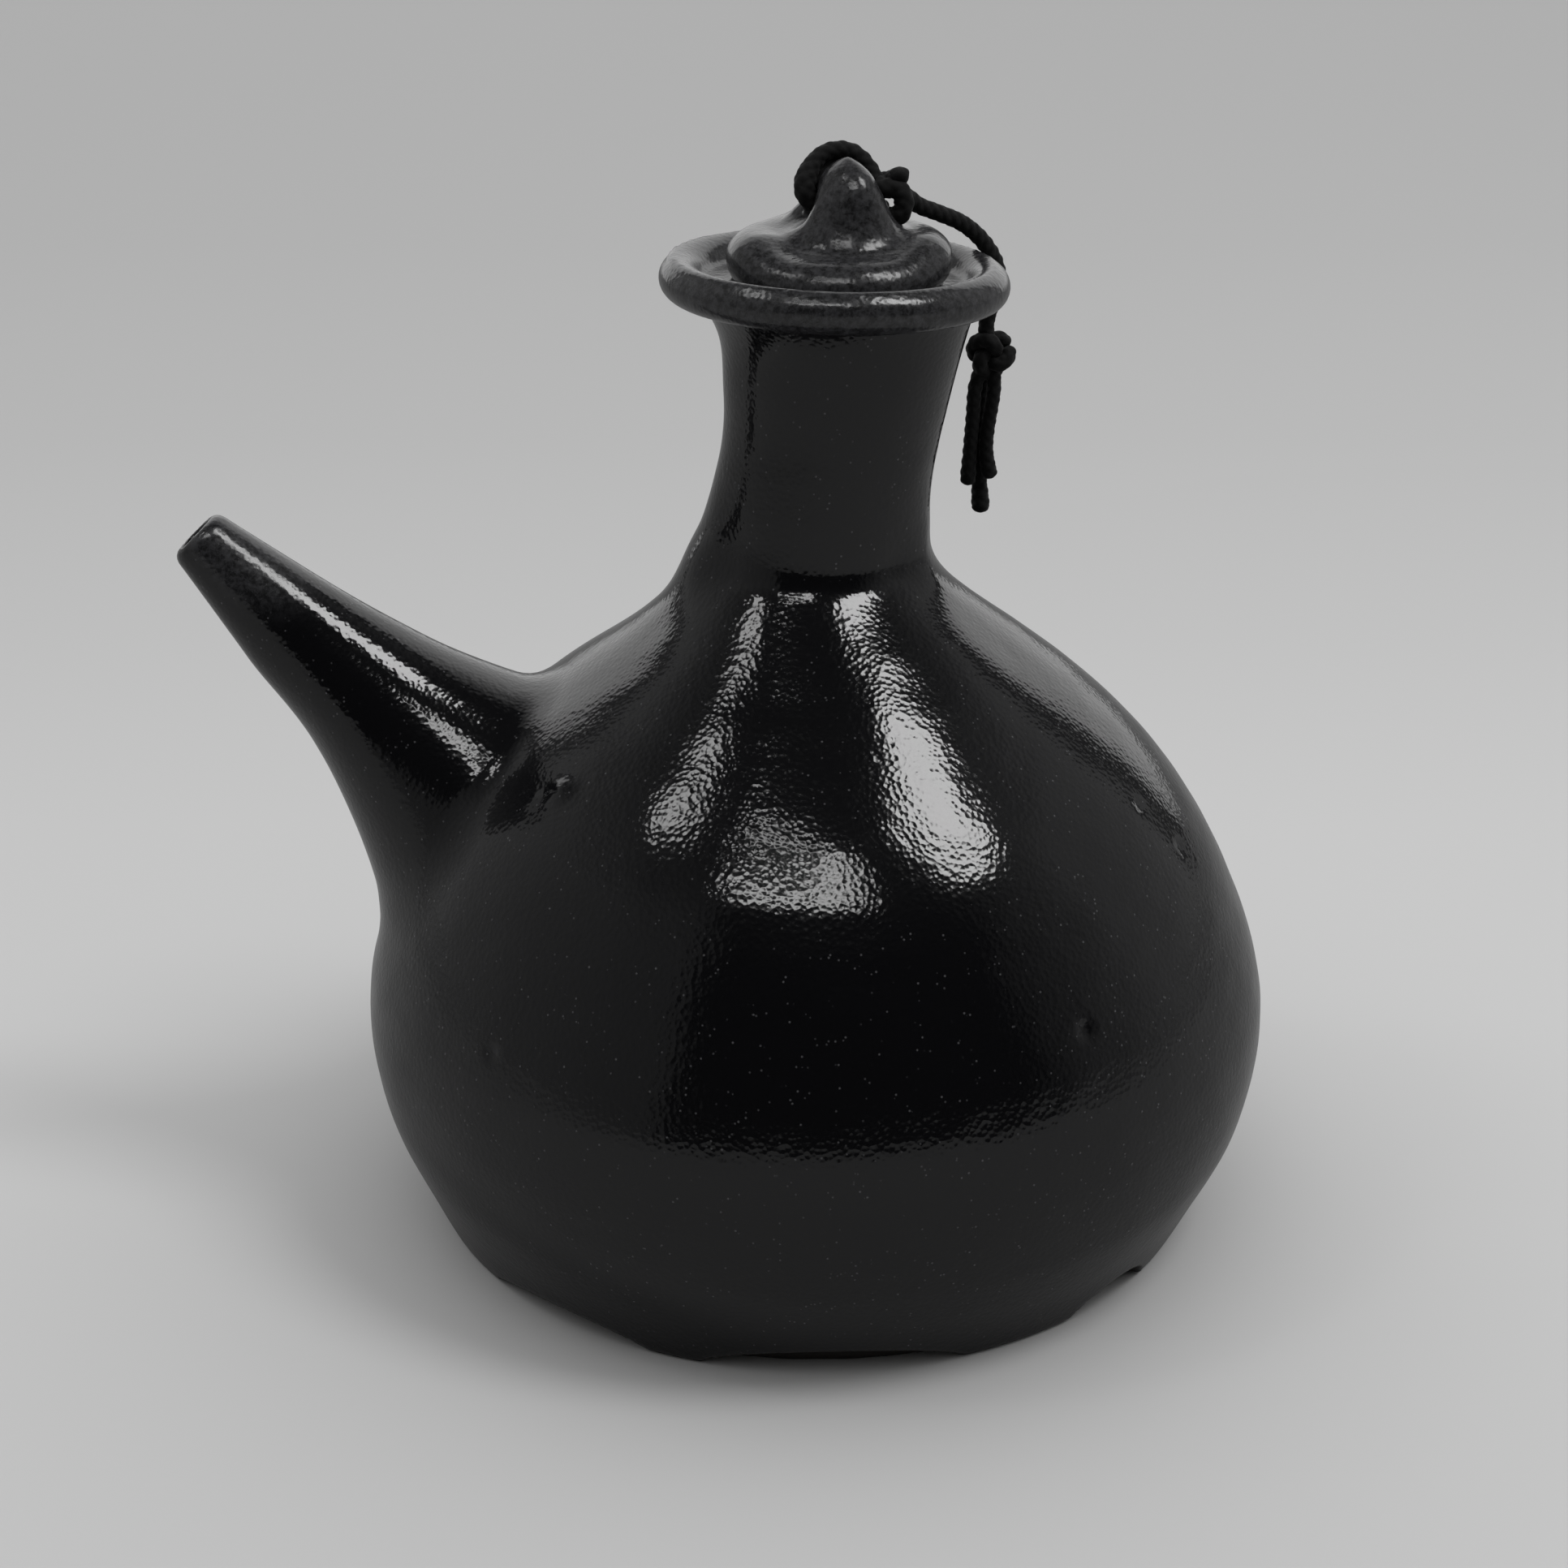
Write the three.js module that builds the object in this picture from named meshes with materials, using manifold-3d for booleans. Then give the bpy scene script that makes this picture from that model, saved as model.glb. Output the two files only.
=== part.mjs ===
// Glazed stoneware oil bottle: a squat thrown body, a flared neck, a slanting pouring spout,
// and a stopper tied with a braided cord that hangs over the lip.
// Millimetres, +Z up. The origin is the middle of the underside, on the body's turning axis.
// The spout points along -X, the cord hangs on the +X side.
import * as THREE from 'three';
import { mergeVertices } from 'three/addons/utils/BufferGeometryUtils.js';
import Module from 'manifold-3d';

const wasm = await Module();
wasm.setup();

// Driving dimensions of the body
const FOOT_RADIUS = 60.3;
const BELLY_RADIUS = 69.7;
const BELLY_HEIGHT = 31;
const BODY_WALL = 4.6;
const FLOOR_THICKNESS = 6;
const BASE_RIM = 2;
const SHOULDER_HEIGHT = 93;
const SHOULDER_RADIUS = 26.6;
const THROAT_RADIUS = 18.8;

// Low arches cut under the foot: middle angle and half width in degrees, counted from the front
// towards +X, and height
const FOOT_ARCHES = [
  { middle: 2, half: 18, height: 3.8 },
  { middle: 42, half: 8, height: 2.4 },
  { middle: 76, half: 9, height: 2.2 },
  { middle: 118, half: 14, height: 2.8 },
  { middle: 163, half: 12, height: 2.4 },
  { middle: 207, half: 15, height: 2.8 },
  { middle: 252, half: 11, height: 2.2 },
  { middle: 283, half: 8, height: 2.0 },
  { middle: 324, half: 13, height: 2.6 },
];
const ARCH_DEPTH = 7;

// Driving dimensions of the neck and its rolled lip
const WAIST_RADIUS = 15.9;
const WAIST_HEIGHT = 120;
const LIP_RADIUS = 22.2;
const LIP_ROLL = 2.9;
const LIP_HEIGHT = 143.9;
const NECK_BORE_RADIUS = 12;
const DISH_DEPTH = 5.7;
const MOUTH_OFFSET = 2.6;

// Driving dimensions of the spout: its tip overhangs the belly, and its places are measured along
// the axis from the open tip
const SPOUT_OVERHANG = 22.7;
const SPOUT_TIP_HEIGHT = 106.2;
const SPOUT_SLOPE = 46.5;
const SPOUT_LENGTH = 50;
const SPOUT_TUBE_LENGTH = 33;
const SPOUT_REACH = 59;
const SPOUT_TIP_RADIUS = 4.6;
const SPOUT_ROOT_RADIUS = 18.5;
const SPOUT_STRAIGHT_TAPER = 0.185;
const SPOUT_TIP_WALL = 1.9;
const SPOUT_ROOT_WALL = 3.8;
const SPOUT_EDGE = 1.2;
const POUR_HOLE_RADIUS = 8;

// Driving dimensions of the stopper: the cap's edge lies above the lip, its crest above that edge,
// and the lug and the cord's hole stand on the crest
const CAP_RADIUS = 16.1;
const CAP_EDGE_RISE = 3.1;
const CAP_CREST_RADIUS = 12;
const CAP_CREST_RISE = 4.5;
const CAP_VALLEY = 0.6;
const CAP_UNDERSIDE_RADIUS = 14;
const LUG_HEIGHT = 9.7;
const LUG_TIP_RADIUS = 2.3;
const LUG_FOOT_RADIUS = 6.6;
const LUG_OFFSET = 1.3;
const LUG_DEPTH_RATIO = 1.5;
const LUG_TURN = 20;
const LUG_WEB = 5.6;
const CORD_HOLE_RADIUS = 1.9;
const CORD_HOLE_RISE = 2.5;
const CORD_HOLE_BACK = 3.2;
const PLUG_LENGTH = 20;
const PLUG_CLEARANCE = 1.2;
const PLUG_TAPER = 0.9;

// The cord and its knots
const CORD_DIAMETER = 2.3;
const HITCH_RADIUS = 2.4;
const HITCH_HEIGHT = 3.1;
const HITCH_STUB_LENGTH = 3.6;
const KNOT_RADIUS = 3.3;
const KNOT_HEIGHT = 6.6;

// Clearances
const SEAT_GAP = 0.3;

// Steps round the turned pieces
const BODY_STEPS = 48;
const NECK_STEPS = 40;
const SPOUT_STEPS = 16;
const STOPPER_STEPS = 32;
const LUG_STEPS = 24;
const CORD_SIDES = 8;

const SPOUT_TIP = { x: -(BELLY_RADIUS + SPOUT_OVERHANG), z: SPOUT_TIP_HEIGHT };
const DISH_BOTTOM = LIP_HEIGHT - DISH_DEPTH;
const CAP_EDGE_HEIGHT = LIP_HEIGHT + CAP_EDGE_RISE;
const CAP_CREST_HEIGHT = CAP_EDGE_HEIGHT + CAP_CREST_RISE;
const LUG_TIP_HEIGHT = CAP_CREST_HEIGHT + LUG_HEIGHT;
const CORD_HOLE_HEIGHT = CAP_CREST_HEIGHT + CORD_HOLE_RISE;

const FINISH = {
  glaze: { color: 0x17181a, roughness: 0.16, metalness: 0 },
  lipGlaze: { color: 0x4a4b4c, roughness: 0.34, metalness: 0 },
  clay: { color: 0x6b665f, roughness: 0.85, metalness: 0 },
  braid: { color: 0x1b1b1c, roughness: 0.9, metalness: 0 },
};

const degrees = (value) => THREE.MathUtils.degToRad(value);
const point = (x, y) => new THREE.Vector2(x, y);
const place = ([x, y, z]) => new THREE.Vector3(x, y, z);

function curve(start, startPull, endPull, end, steps) {
  return new THREE.CubicBezierCurve(start, startPull, endPull, end).getPoints(steps);
}

function arc(centreX, centreY, radius, from, to, steps) {
  const path = new THREE.EllipseCurve(centreX, centreY, radius, radius, from, to, to < from);
  return path.getPoints(steps);
}

// Drops points that repeat the one before them, where two stretches of an outline meet
function joined(...stretches) {
  const points = stretches.flat();
  return points.filter((p, i) => i === 0 || p.distanceTo(points[i - 1]) > 1e-6);
}

// Turns an outline of (radius, height) points about Z; the outline runs with the clay on its left
function turned(outline, steps) {
  return new THREE.LatheGeometry(outline, steps).rotateX(Math.PI / 2);
}

function solid(geometry) {
  const bare = geometry.clone();
  bare.deleteAttribute('normal');
  bare.deleteAttribute('uv');
  const merged = mergeVertices(bare, 1e-4);
  return new wasm.Manifold(new wasm.Mesh({
    numProp: 3,
    vertProperties: new Float32Array(merged.attributes.position.array),
    triVerts: new Uint32Array(merged.index.array),
  }));
}

function surface(body) {
  const mesh = body.getMesh();
  const geometry = new THREE.BufferGeometry();
  geometry.setAttribute('position', new THREE.BufferAttribute(mesh.vertProperties, 3));
  geometry.setIndex(new THREE.BufferAttribute(mesh.triVerts, 1));
  geometry.computeVertexNormals();
  return geometry;
}

function piece(name, geometry, finish) {
  const mesh = new THREE.Mesh(geometry, new THREE.MeshStandardMaterial(FINISH[finish]));
  mesh.name = name;
  return mesh;
}

// Outer outline of the body from its foot to its shoulder, moved outwards by grow
function bodyOutline(grow) {
  const foot = point(FOOT_RADIUS + grow, -grow);
  const belly = point(BELLY_RADIUS + grow, BELLY_HEIGHT);
  const shoulder = point(SHOULDER_RADIUS + grow, SHOULDER_HEIGHT + grow);
  const rise = SHOULDER_HEIGHT - BELLY_HEIGHT;
  const reach = BELLY_RADIUS - SHOULDER_RADIUS;
  const lower = curve(
    foot,
    point(foot.x + 0.65 * (belly.x - foot.x), 0.45 * BELLY_HEIGHT),
    point(belly.x, 0.65 * BELLY_HEIGHT),
    belly,
    6,
  );
  const upper = curve(
    belly,
    point(belly.x, BELLY_HEIGHT + 0.4 * rise),
    point(shoulder.x + 0.53 * reach, SHOULDER_HEIGHT - 0.245 * rise),
    shoulder,
    11,
  );
  return joined(lower, upper);
}

// Inner outline of the body, from the throat down to the middle of the floor
function cavityOutline() {
  const rise = SHOULDER_HEIGHT - BELLY_HEIGHT;
  const belly = point(BELLY_RADIUS - BODY_WALL, BELLY_HEIGHT);
  const floorEdge = point(FOOT_RADIUS - BODY_WALL - FLOOR_THICKNESS, FLOOR_THICKNESS);
  const reach = belly.x - THROAT_RADIUS;
  const upper = curve(
    point(THROAT_RADIUS, SHOULDER_HEIGHT),
    point(THROAT_RADIUS + 0.5 * reach, SHOULDER_HEIGHT - 0.27 * rise),
    point(belly.x, BELLY_HEIGHT + 0.34 * rise),
    belly,
    8,
  );
  const lower = curve(
    belly,
    point(belly.x, 0.6 * BELLY_HEIGHT),
    point(0.5 * (belly.x + floorEdge.x), floorEdge.y),
    floorEdge,
    4,
  );
  return joined(upper, lower, [point(0, FLOOR_THICKNESS)]);
}

function bodyEnvelope(grow) {
  const outline = bodyOutline(grow);
  const top = outline[outline.length - 1];
  return solid(turned(joined([point(0, outline[0].y)], outline, [point(0, top.y)]), BODY_STEPS));
}

function footArch({ middle, half, height }) {
  const width = FOOT_RADIUS * Math.sin(degrees(half));
  const hollow = new THREE.SphereGeometry(1, 16, 8)
    .scale(width, ARCH_DEPTH, height)
    .translate(0, -FOOT_RADIUS, 0)
    .rotateZ(degrees(middle));
  return solid(hollow);
}

// The spout's own frame has its axis along +Z from the open tip inwards
function toSpout(geometry) {
  return geometry
    .rotateY(degrees(90 + SPOUT_SLOPE))
    .translate(SPOUT_TIP.x, 0, SPOUT_TIP.z);
}

function spoutRadius(along) {
  const flare = SPOUT_ROOT_RADIUS - SPOUT_TIP_RADIUS - SPOUT_STRAIGHT_TAPER * SPOUT_LENGTH;
  return SPOUT_TIP_RADIUS + SPOUT_STRAIGHT_TAPER * along + flare * (along / SPOUT_LENGTH) ** 3;
}

function spoutBore(along) {
  const wall = SPOUT_TIP_WALL + (SPOUT_ROOT_WALL - SPOUT_TIP_WALL) * (along / SPOUT_LENGTH);
  return spoutRadius(along) - wall;
}

// Outer and inner outlines of the spout's wall between two places along its axis
function spoutWall(from, to, rings) {
  const outer = [];
  const inner = [];
  for (let i = 0; i <= rings; i += 1) {
    const along = from + (to - from) * (i / rings);
    outer.push(point(spoutRadius(along), along));
    inner.unshift(point(spoutBore(along), along));
  }
  return { outer, inner };
}

// The tapered tube, from its open tip with a rounded edge to where it meets the collar
function spoutTube() {
  const { outer, inner } = spoutWall(SPOUT_EDGE, SPOUT_TUBE_LENGTH, 7);
  const edge = arc(outer[0].x - SPOUT_EDGE, SPOUT_EDGE, SPOUT_EDGE, -Math.PI / 2, 0, 3);
  const mouth = point(spoutBore(0), 0);
  return toSpout(turned(joined([mouth], edge, outer, inner, [mouth]), SPOUT_STEPS));
}

// The flared root that the potter draws down over the body's wall to join the spout to it
function spoutCollar() {
  const { outer, inner } = spoutWall(SPOUT_TUBE_LENGTH + SEAT_GAP, SPOUT_REACH, 6);
  const outline = joined(outer, inner, [outer[0]]);
  return solid(toSpout(turned(outline, SPOUT_STEPS))).subtract(bodyEnvelope(SEAT_GAP));
}

// The slab that the bottle stands on, with its low rim, and the wall that the potter raised on it
function bodyPieces() {
  const outline = joined([point(0, 0)], bodyOutline(0), cavityOutline());
  const pourHole = new THREE.CylinderGeometry(POUR_HOLE_RADIUS, POUR_HOLE_RADIUS, SPOUT_LENGTH, SPOUT_STEPS)
    .rotateX(Math.PI / 2)
    .translate(0, 0, SPOUT_REACH);
  let body = solid(turned(outline, BODY_STEPS)).subtract(solid(toSpout(pourHole)));
  for (const arch of FOOT_ARCHES) {
    body = body.subtract(footArch(arch));
  }
  const [wall, base] = body.splitByPlane([0, 0, 1], FLOOR_THICKNESS + BASE_RIM);
  return [piece('bottle_base', surface(base), 'glaze'), piece('bottle_body', surface(wall), 'glaze')];
}

// Moves a turned piece sideways, more with height, as the neck leans a little off the body's axis
function leaned(geometry) {
  const places = geometry.attributes.position;
  for (let i = 0; i < places.count; i += 1) {
    const share = THREE.MathUtils.smoothstep(places.getZ(i), SHOULDER_HEIGHT, WAIST_HEIGHT + 4);
    places.setX(i, places.getX(i) + MOUTH_OFFSET * share);
  }
  return geometry;
}

function neckPiece() {
  const rise = WAIST_HEIGHT - SHOULDER_HEIGHT;
  const under = degrees(-140);
  const lipStart = point(LIP_RADIUS + LIP_ROLL * Math.cos(under), LIP_HEIGHT + LIP_ROLL * Math.sin(under));
  const waist = point(WAIST_RADIUS, WAIST_HEIGHT);
  const flare = lipStart.y - WAIST_HEIGHT;
  const shoulder = curve(
    point(SHOULDER_RADIUS, SHOULDER_HEIGHT),
    point(SHOULDER_RADIUS - 0.66 * (SHOULDER_RADIUS - WAIST_RADIUS), SHOULDER_HEIGHT + 0.2 * rise),
    point(WAIST_RADIUS, SHOULDER_HEIGHT + 0.52 * rise),
    waist,
    8,
  );
  const throat = curve(
    waist,
    point(WAIST_RADIUS, WAIST_HEIGHT + 0.38 * flare),
    point(WAIST_RADIUS + 0.4 * (lipStart.x - WAIST_RADIUS), WAIST_HEIGHT + 0.8 * flare),
    lipStart,
    5,
  );
  const lip = arc(LIP_RADIUS, LIP_HEIGHT, LIP_ROLL, under, Math.PI, 12);
  const boreFoot = SHOULDER_HEIGHT + 0.7 * rise;
  const bore = curve(
    point(NECK_BORE_RADIUS, boreFoot),
    point(NECK_BORE_RADIUS, SHOULDER_HEIGHT + 0.4 * rise),
    point(0.5 * (NECK_BORE_RADIUS + THROAT_RADIUS), SHOULDER_HEIGHT + 0.16 * rise),
    point(THROAT_RADIUS, SHOULDER_HEIGHT),
    5,
  );
  const dish = [point(NECK_BORE_RADIUS, DISH_BOTTOM), point(NECK_BORE_RADIUS, WAIST_HEIGHT + 4)];
  const outline = joined(shoulder, throat, lip, dish, bore, [shoulder[0]]);
  return piece('bottle_neck', leaned(turned(outline, NECK_STEPS)), 'lipGlaze');
}

// Height of the mouth's dish at a radius, between the bore and the lip
function dishHeight(radius) {
  const share = (radius - NECK_BORE_RADIUS) / (LIP_RADIUS - LIP_ROLL - NECK_BORE_RADIUS);
  return DISH_BOTTOM + share * (LIP_HEIGHT - DISH_BOTTOM);
}

const DISH_SLOPE = Math.atan2(LIP_HEIGHT - DISH_BOTTOM, LIP_RADIUS - LIP_ROLL - NECK_BORE_RADIUS);
const SEAT_LIFT = SEAT_GAP / Math.cos(DISH_SLOPE);
const PLUG_RADIUS = NECK_BORE_RADIUS - PLUG_CLEARANCE;
const PLUG_TOP = dishHeight(NECK_BORE_RADIUS) + SEAT_LIFT;

// A rounded point on a foot that flares into the cap, longer in depth than in width
function lugBody() {
  const tip = arc(0, LUG_TIP_HEIGHT - LUG_TIP_RADIUS, LUG_TIP_RADIUS, degrees(26), Math.PI / 2, 5);
  const buried = 0.28 * LUG_HEIGHT;
  const side = curve(
    point(1.5 * LUG_FOOT_RADIUS, CAP_CREST_HEIGHT - buried),
    point(1.15 * LUG_FOOT_RADIUS, CAP_CREST_HEIGHT - 0.1 * LUG_HEIGHT),
    point(0.88 * LUG_FOOT_RADIUS, CAP_CREST_HEIGHT + 0.2 * LUG_HEIGHT),
    tip[0],
    7,
  );
  const foot = point(0, CAP_CREST_HEIGHT - buried);
  const outline = joined([foot], side, tip.slice(0, -1), [point(0, LUG_TIP_HEIGHT)]);
  return solid(turned(outline, LUG_STEPS).scale(1, LUG_DEPTH_RATIO, 1));
}

// A thumb's pinch on each flank thins the lug to a web, and the cord's hole goes through that web
function lugHollows() {
  const length = 2 * (LUG_FOOT_RADIUS + CAP_RADIUS);
  const hole = new THREE.CylinderGeometry(CORD_HOLE_RADIUS, CORD_HOLE_RADIUS, length, 14)
    .rotateZ(Math.PI / 2)
    .translate(0, CORD_HOLE_BACK, CORD_HOLE_HEIGHT);
  const reach = 2.1 * CORD_HOLE_RADIUS;
  const lift = 0.4 * CORD_HOLE_RADIUS;
  const pinch = (side) => solid(new THREE.SphereGeometry(1, 16, 10)
    .scale(reach, 1.6 * CORD_HOLE_RADIUS, 1.9 * CORD_HOLE_RADIUS)
    .translate(side * (0.5 * LUG_WEB + reach), CORD_HOLE_BACK, CORD_HOLE_HEIGHT + lift));
  return solid(hole).add(pinch(-1)).add(pinch(1));
}

function onCap(body) {
  return body.rotate([0, 0, LUG_TURN]).translate([LUG_OFFSET, 0, 0]);
}

function capPiece() {
  const underside = dishHeight(CAP_UNDERSIDE_RADIUS) + SEAT_LIFT;
  const middle = 0.5 * (underside + CAP_EDGE_HEIGHT);
  const under = curve(
    point(CAP_UNDERSIDE_RADIUS, underside),
    point(CAP_RADIUS - 0.6, middle - 0.8),
    point(CAP_RADIUS, middle + 1.2),
    point(CAP_RADIUS, CAP_EDGE_HEIGHT),
    5,
  );
  const over = curve(
    point(CAP_RADIUS, CAP_EDGE_HEIGHT),
    point(CAP_RADIUS, CAP_CREST_HEIGHT - 1.4),
    point(CAP_CREST_RADIUS + 2.4, CAP_CREST_HEIGHT),
    point(CAP_CREST_RADIUS, CAP_CREST_HEIGHT),
    7,
  );
  const valley = [
    point(0.72 * CAP_CREST_RADIUS, CAP_CREST_HEIGHT - 0.5 * CAP_VALLEY),
    point(0, CAP_CREST_HEIGHT - CAP_VALLEY),
  ];
  const outline = joined([point(0, PLUG_TOP), point(PLUG_RADIUS, PLUG_TOP)], under, over, valley);
  const cap = solid(turned(outline, STOPPER_STEPS)).add(onCap(lugBody())).subtract(onCap(lugHollows()));
  return piece('stopper_cap', surface(cap), 'lipGlaze');
}

// The plug hangs under the cap and tapers to a rounded end inside the neck's bore
function plugPiece() {
  const bottom = PLUG_TOP - PLUG_LENGTH;
  const round = 2;
  const tip = arc(PLUG_RADIUS - PLUG_TAPER - round, bottom + round, round, -Math.PI / 2, 0, 3);
  const outline = joined([point(0, bottom)], tip, [point(PLUG_RADIUS, PLUG_TOP), point(0, PLUG_TOP)]);
  return piece('stopper_plug', turned(outline, STOPPER_STEPS), 'clay');
}

// The cord's route, in the bottle's frame, chosen by hand. The loop leaves the hitch's lower side,
// passes through the stopper's lug from right to left and climbs back behind its tip.
const LOOP_ROUTE = [
  [10.7, 5.5, 153.3],
  [9.4, 5.2, 153.4],
  [7.9, 4.8, 153.7],
  [5.6, 4.0, 154.0],
  [2.8, 3.0, 154.0],
  [0.3, 2.1, 154.0],
  [-1.4, 1.6, 154.5],
  [-2.4, 1.6, 156.0],
  [-2.4, 2.1, 157.6],
  [-1.5, 3.0, 159.3],
  [0.3, 4.0, 160.9],
  [2.6, 4.7, 161.5],
  [4.8, 5.0, 161.0],
  [6.5, 5.0, 159.7],
  [7.4, 5.0, 158.7],
];

// From the hitch over the lip, then down outside it to the lower knot
const RUN_ROUTE = [
  [14.5, 6.4, 154.8],
  [15.5, 6.9, 153.9],
  [16.7, 7.5, 152.9],
  [18.2, 8.3, 151.9],
  [19.7, 9.1, 150.9],
  [21.2, 9.9, 149.8],
  [22.8, 10.8, 148.7],
  [24.4, 11.7, 147.6],
  [25.7, 12.5, 146.1],
  [26.9, 13.3, 144.2],
  [27.6, 14.0, 142.0],
  [27.8, 14.8, 139.8],
  [27.3, 15.6, 137.6],
  [26.6, 16.2, 135.3],
  [26.2, 16.7, 133.0],
];

const HITCH_CENTRE = [10.8, 5.0, 156.4];
const HITCH_ELBOW = [12.3, 5.6, 154.5];
const KNOT_CENTRE = [26.1, 16.9, 129.2];
const TAIL_ROUTES = {
  cord_tail_left: [
    [24.7, 16.2, 125.5],
    [24.3, 16.6, 121.0],
    [24.1, 16.9, 116.5],
    [24.0, 17.2, 112.2],
    [24.1, 17.4, 108.2],
  ],
  cord_tail_right: [
    [27.6, 16.4, 125.5],
    [27.5, 16.6, 122.0],
    [27.3, 16.7, 118.4],
    [27.1, 16.8, 114.8],
    [27.2, 16.9, 111.2],
  ],
  cord_tail_centre: [
    [26.2, 19.0, 125.5],
    [26.0, 19.4, 120.0],
    [25.8, 19.6, 114.6],
    [25.8, 19.6, 109.2],
    [26.0, 19.4, 103.8],
  ],
};

// A tube of the cord's thickness along a smooth curve through the points
function cordTube(route) {
  const path = new THREE.CatmullRomCurve3(route.map(place), false, 'centripetal');
  const section = new THREE.Shape();
  for (let i = 0; i < CORD_SIDES; i += 1) {
    const angle = (2 * Math.PI * i) / CORD_SIDES;
    const corner = [0.5 * CORD_DIAMETER * Math.cos(angle), 0.5 * CORD_DIAMETER * Math.sin(angle)];
    section[i === 0 ? 'moveTo' : 'lineTo'](...corner);
  }
  section.closePath();
  return new THREE.ExtrudeGeometry(section, { steps: route.length + 1, extrudePath: path });
}

function ball(centre, width, height) {
  return solid(new THREE.SphereGeometry(1, 14, 10)
    .rotateX(Math.PI / 2)
    .scale(width, width, height)
    .translate(...centre));
}

// The hitch that closes the loop: a turn round the cord, an elbow below it and a cut end above it
function hitchPiece() {
  const stubEnd = [HITCH_CENTRE[0] + 0.5, HITCH_CENTRE[1], HITCH_CENTRE[2] + HITCH_STUB_LENGTH];
  const stub = solid(cordTube([HITCH_CENTRE, stubEnd]));
  const knot = ball(HITCH_CENTRE, HITCH_RADIUS, 0.5 * HITCH_HEIGHT)
    .add(ball(HITCH_ELBOW, 0.5 * CORD_DIAMETER, 0.5 * CORD_DIAMETER))
    .add(stub);
  return piece('hitch_knot', surface(knot), 'braid');
}

function lowerKnotPiece() {
  return piece('lower_knot', surface(ball(KNOT_CENTRE, KNOT_RADIUS, 0.5 * KNOT_HEIGHT)), 'braid');
}

const bottle = new THREE.Group();
bottle.add(...bodyPieces(), neckPiece());
bottle.add(piece('pouring_spout', spoutTube(), 'glaze'));
bottle.add(piece('spout_collar', surface(spoutCollar()), 'glaze'));

const stopper = new THREE.Group();
stopper.position.x = MOUTH_OFFSET;
stopper.add(capPiece(), plugPiece());

const cord = new THREE.Group();
cord.add(piece('cord_loop', cordTube(LOOP_ROUTE), 'braid'), hitchPiece());
cord.add(piece('cord_run', cordTube(RUN_ROUTE), 'braid'), lowerKnotPiece());
for (const [name, route] of Object.entries(TAIL_ROUTES)) {
  cord.add(piece(name, cordTube(route), 'braid'));
}

const oilBottle = new THREE.Group();
oilBottle.add(bottle, stopper, cord);

export default oilBottle;
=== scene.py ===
"""Glazed stoneware oil bottle with a lift-out stopper tied by a braided cord.

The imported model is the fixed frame. Each class builds one sub-assembly of the bottle round it, in the
frame's own axes: +Z up, -X towards the spout's tip, +X towards the hanging cord, -Y to the viewer.
Shapes are worked out in millimetres and turned to metres when a mesh is made.
"""

from __future__ import annotations

import logging
import math
from dataclasses import dataclass
from enum import Enum
from typing import Callable, Sequence

import bpy
import numpy as np
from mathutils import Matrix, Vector


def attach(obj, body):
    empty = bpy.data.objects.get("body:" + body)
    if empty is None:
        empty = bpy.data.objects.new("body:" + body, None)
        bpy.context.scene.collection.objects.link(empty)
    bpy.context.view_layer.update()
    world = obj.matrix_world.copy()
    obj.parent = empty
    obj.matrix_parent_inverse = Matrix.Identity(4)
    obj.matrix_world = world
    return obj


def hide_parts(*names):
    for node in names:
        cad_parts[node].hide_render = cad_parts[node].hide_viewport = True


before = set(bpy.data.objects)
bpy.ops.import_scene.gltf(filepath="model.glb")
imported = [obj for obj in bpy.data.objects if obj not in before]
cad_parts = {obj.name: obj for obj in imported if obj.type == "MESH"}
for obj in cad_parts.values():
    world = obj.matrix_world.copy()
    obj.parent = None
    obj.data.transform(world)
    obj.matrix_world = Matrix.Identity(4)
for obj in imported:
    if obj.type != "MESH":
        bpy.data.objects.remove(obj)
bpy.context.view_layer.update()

LOG = logging.getLogger("oil_bottle")
MM = 0.001
# Fixes the small dents of the thrown wall
SEED = 27
# How a net finds its surface, in mm: the step that measures a slope, the least squared slope that is
# trusted and the longest move of a point at once. Its points are evened out this many times.
PROBE = 0.05
LEAST_SQUARE = 0.05
LONGEST_MOVE = 0.4
EVENINGS = 3

Array = np.ndarray
Field = Callable[[Array, Array, Array], Array]
Point = tuple[float, float, float]
Tree = bpy.types.NodeTree
Socket = bpy.types.NodeSocket


class Body(Enum):
    """The two bodies of the frame that pieces ride on."""

    BOTTLE = "bottle"
    STOPPER = "stopper"


class Slot(Enum):
    """The record's material slots, named here but given to no piece. Bare clay shows as a part of the glazed
    pieces.
    """

    DARK_GLAZE = "dark_glaze"
    LIP_GLAZE = "lip_glaze"
    CORD = "braided_cord"


# Shapes


def blend_min(first: Array, second: Array, width: float) -> Array:
    """Joins two distance fields with a fillet.

    Args:
        first: One field.
        second: The other field.
        width: How wide the fillet is, in mm.

    Returns:
        The field of both solids together.
    """
    share = np.maximum(width - np.abs(first - second), 0.0) / width
    return np.minimum(first, second) - share * share * width * 0.25


def blend_max(first: Array, second: Array, width: float) -> Array:
    """Cuts one distance field by another with a rounded edge.

    Args:
        first: One field.
        second: The other field.
        width: How wide the rounding is, in mm.

    Returns:
        The field of what both solids share.
    """
    return -blend_min(-first, -second, width)


def smooth_step(value: Array, low: float, high: float) -> Array:
    """Rises smoothly from 0 at low to 1 at high."""
    share = np.clip((value - low) / (high - low), 0.0, 1.0)
    return share * share * (3.0 - 2.0 * share)


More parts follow.
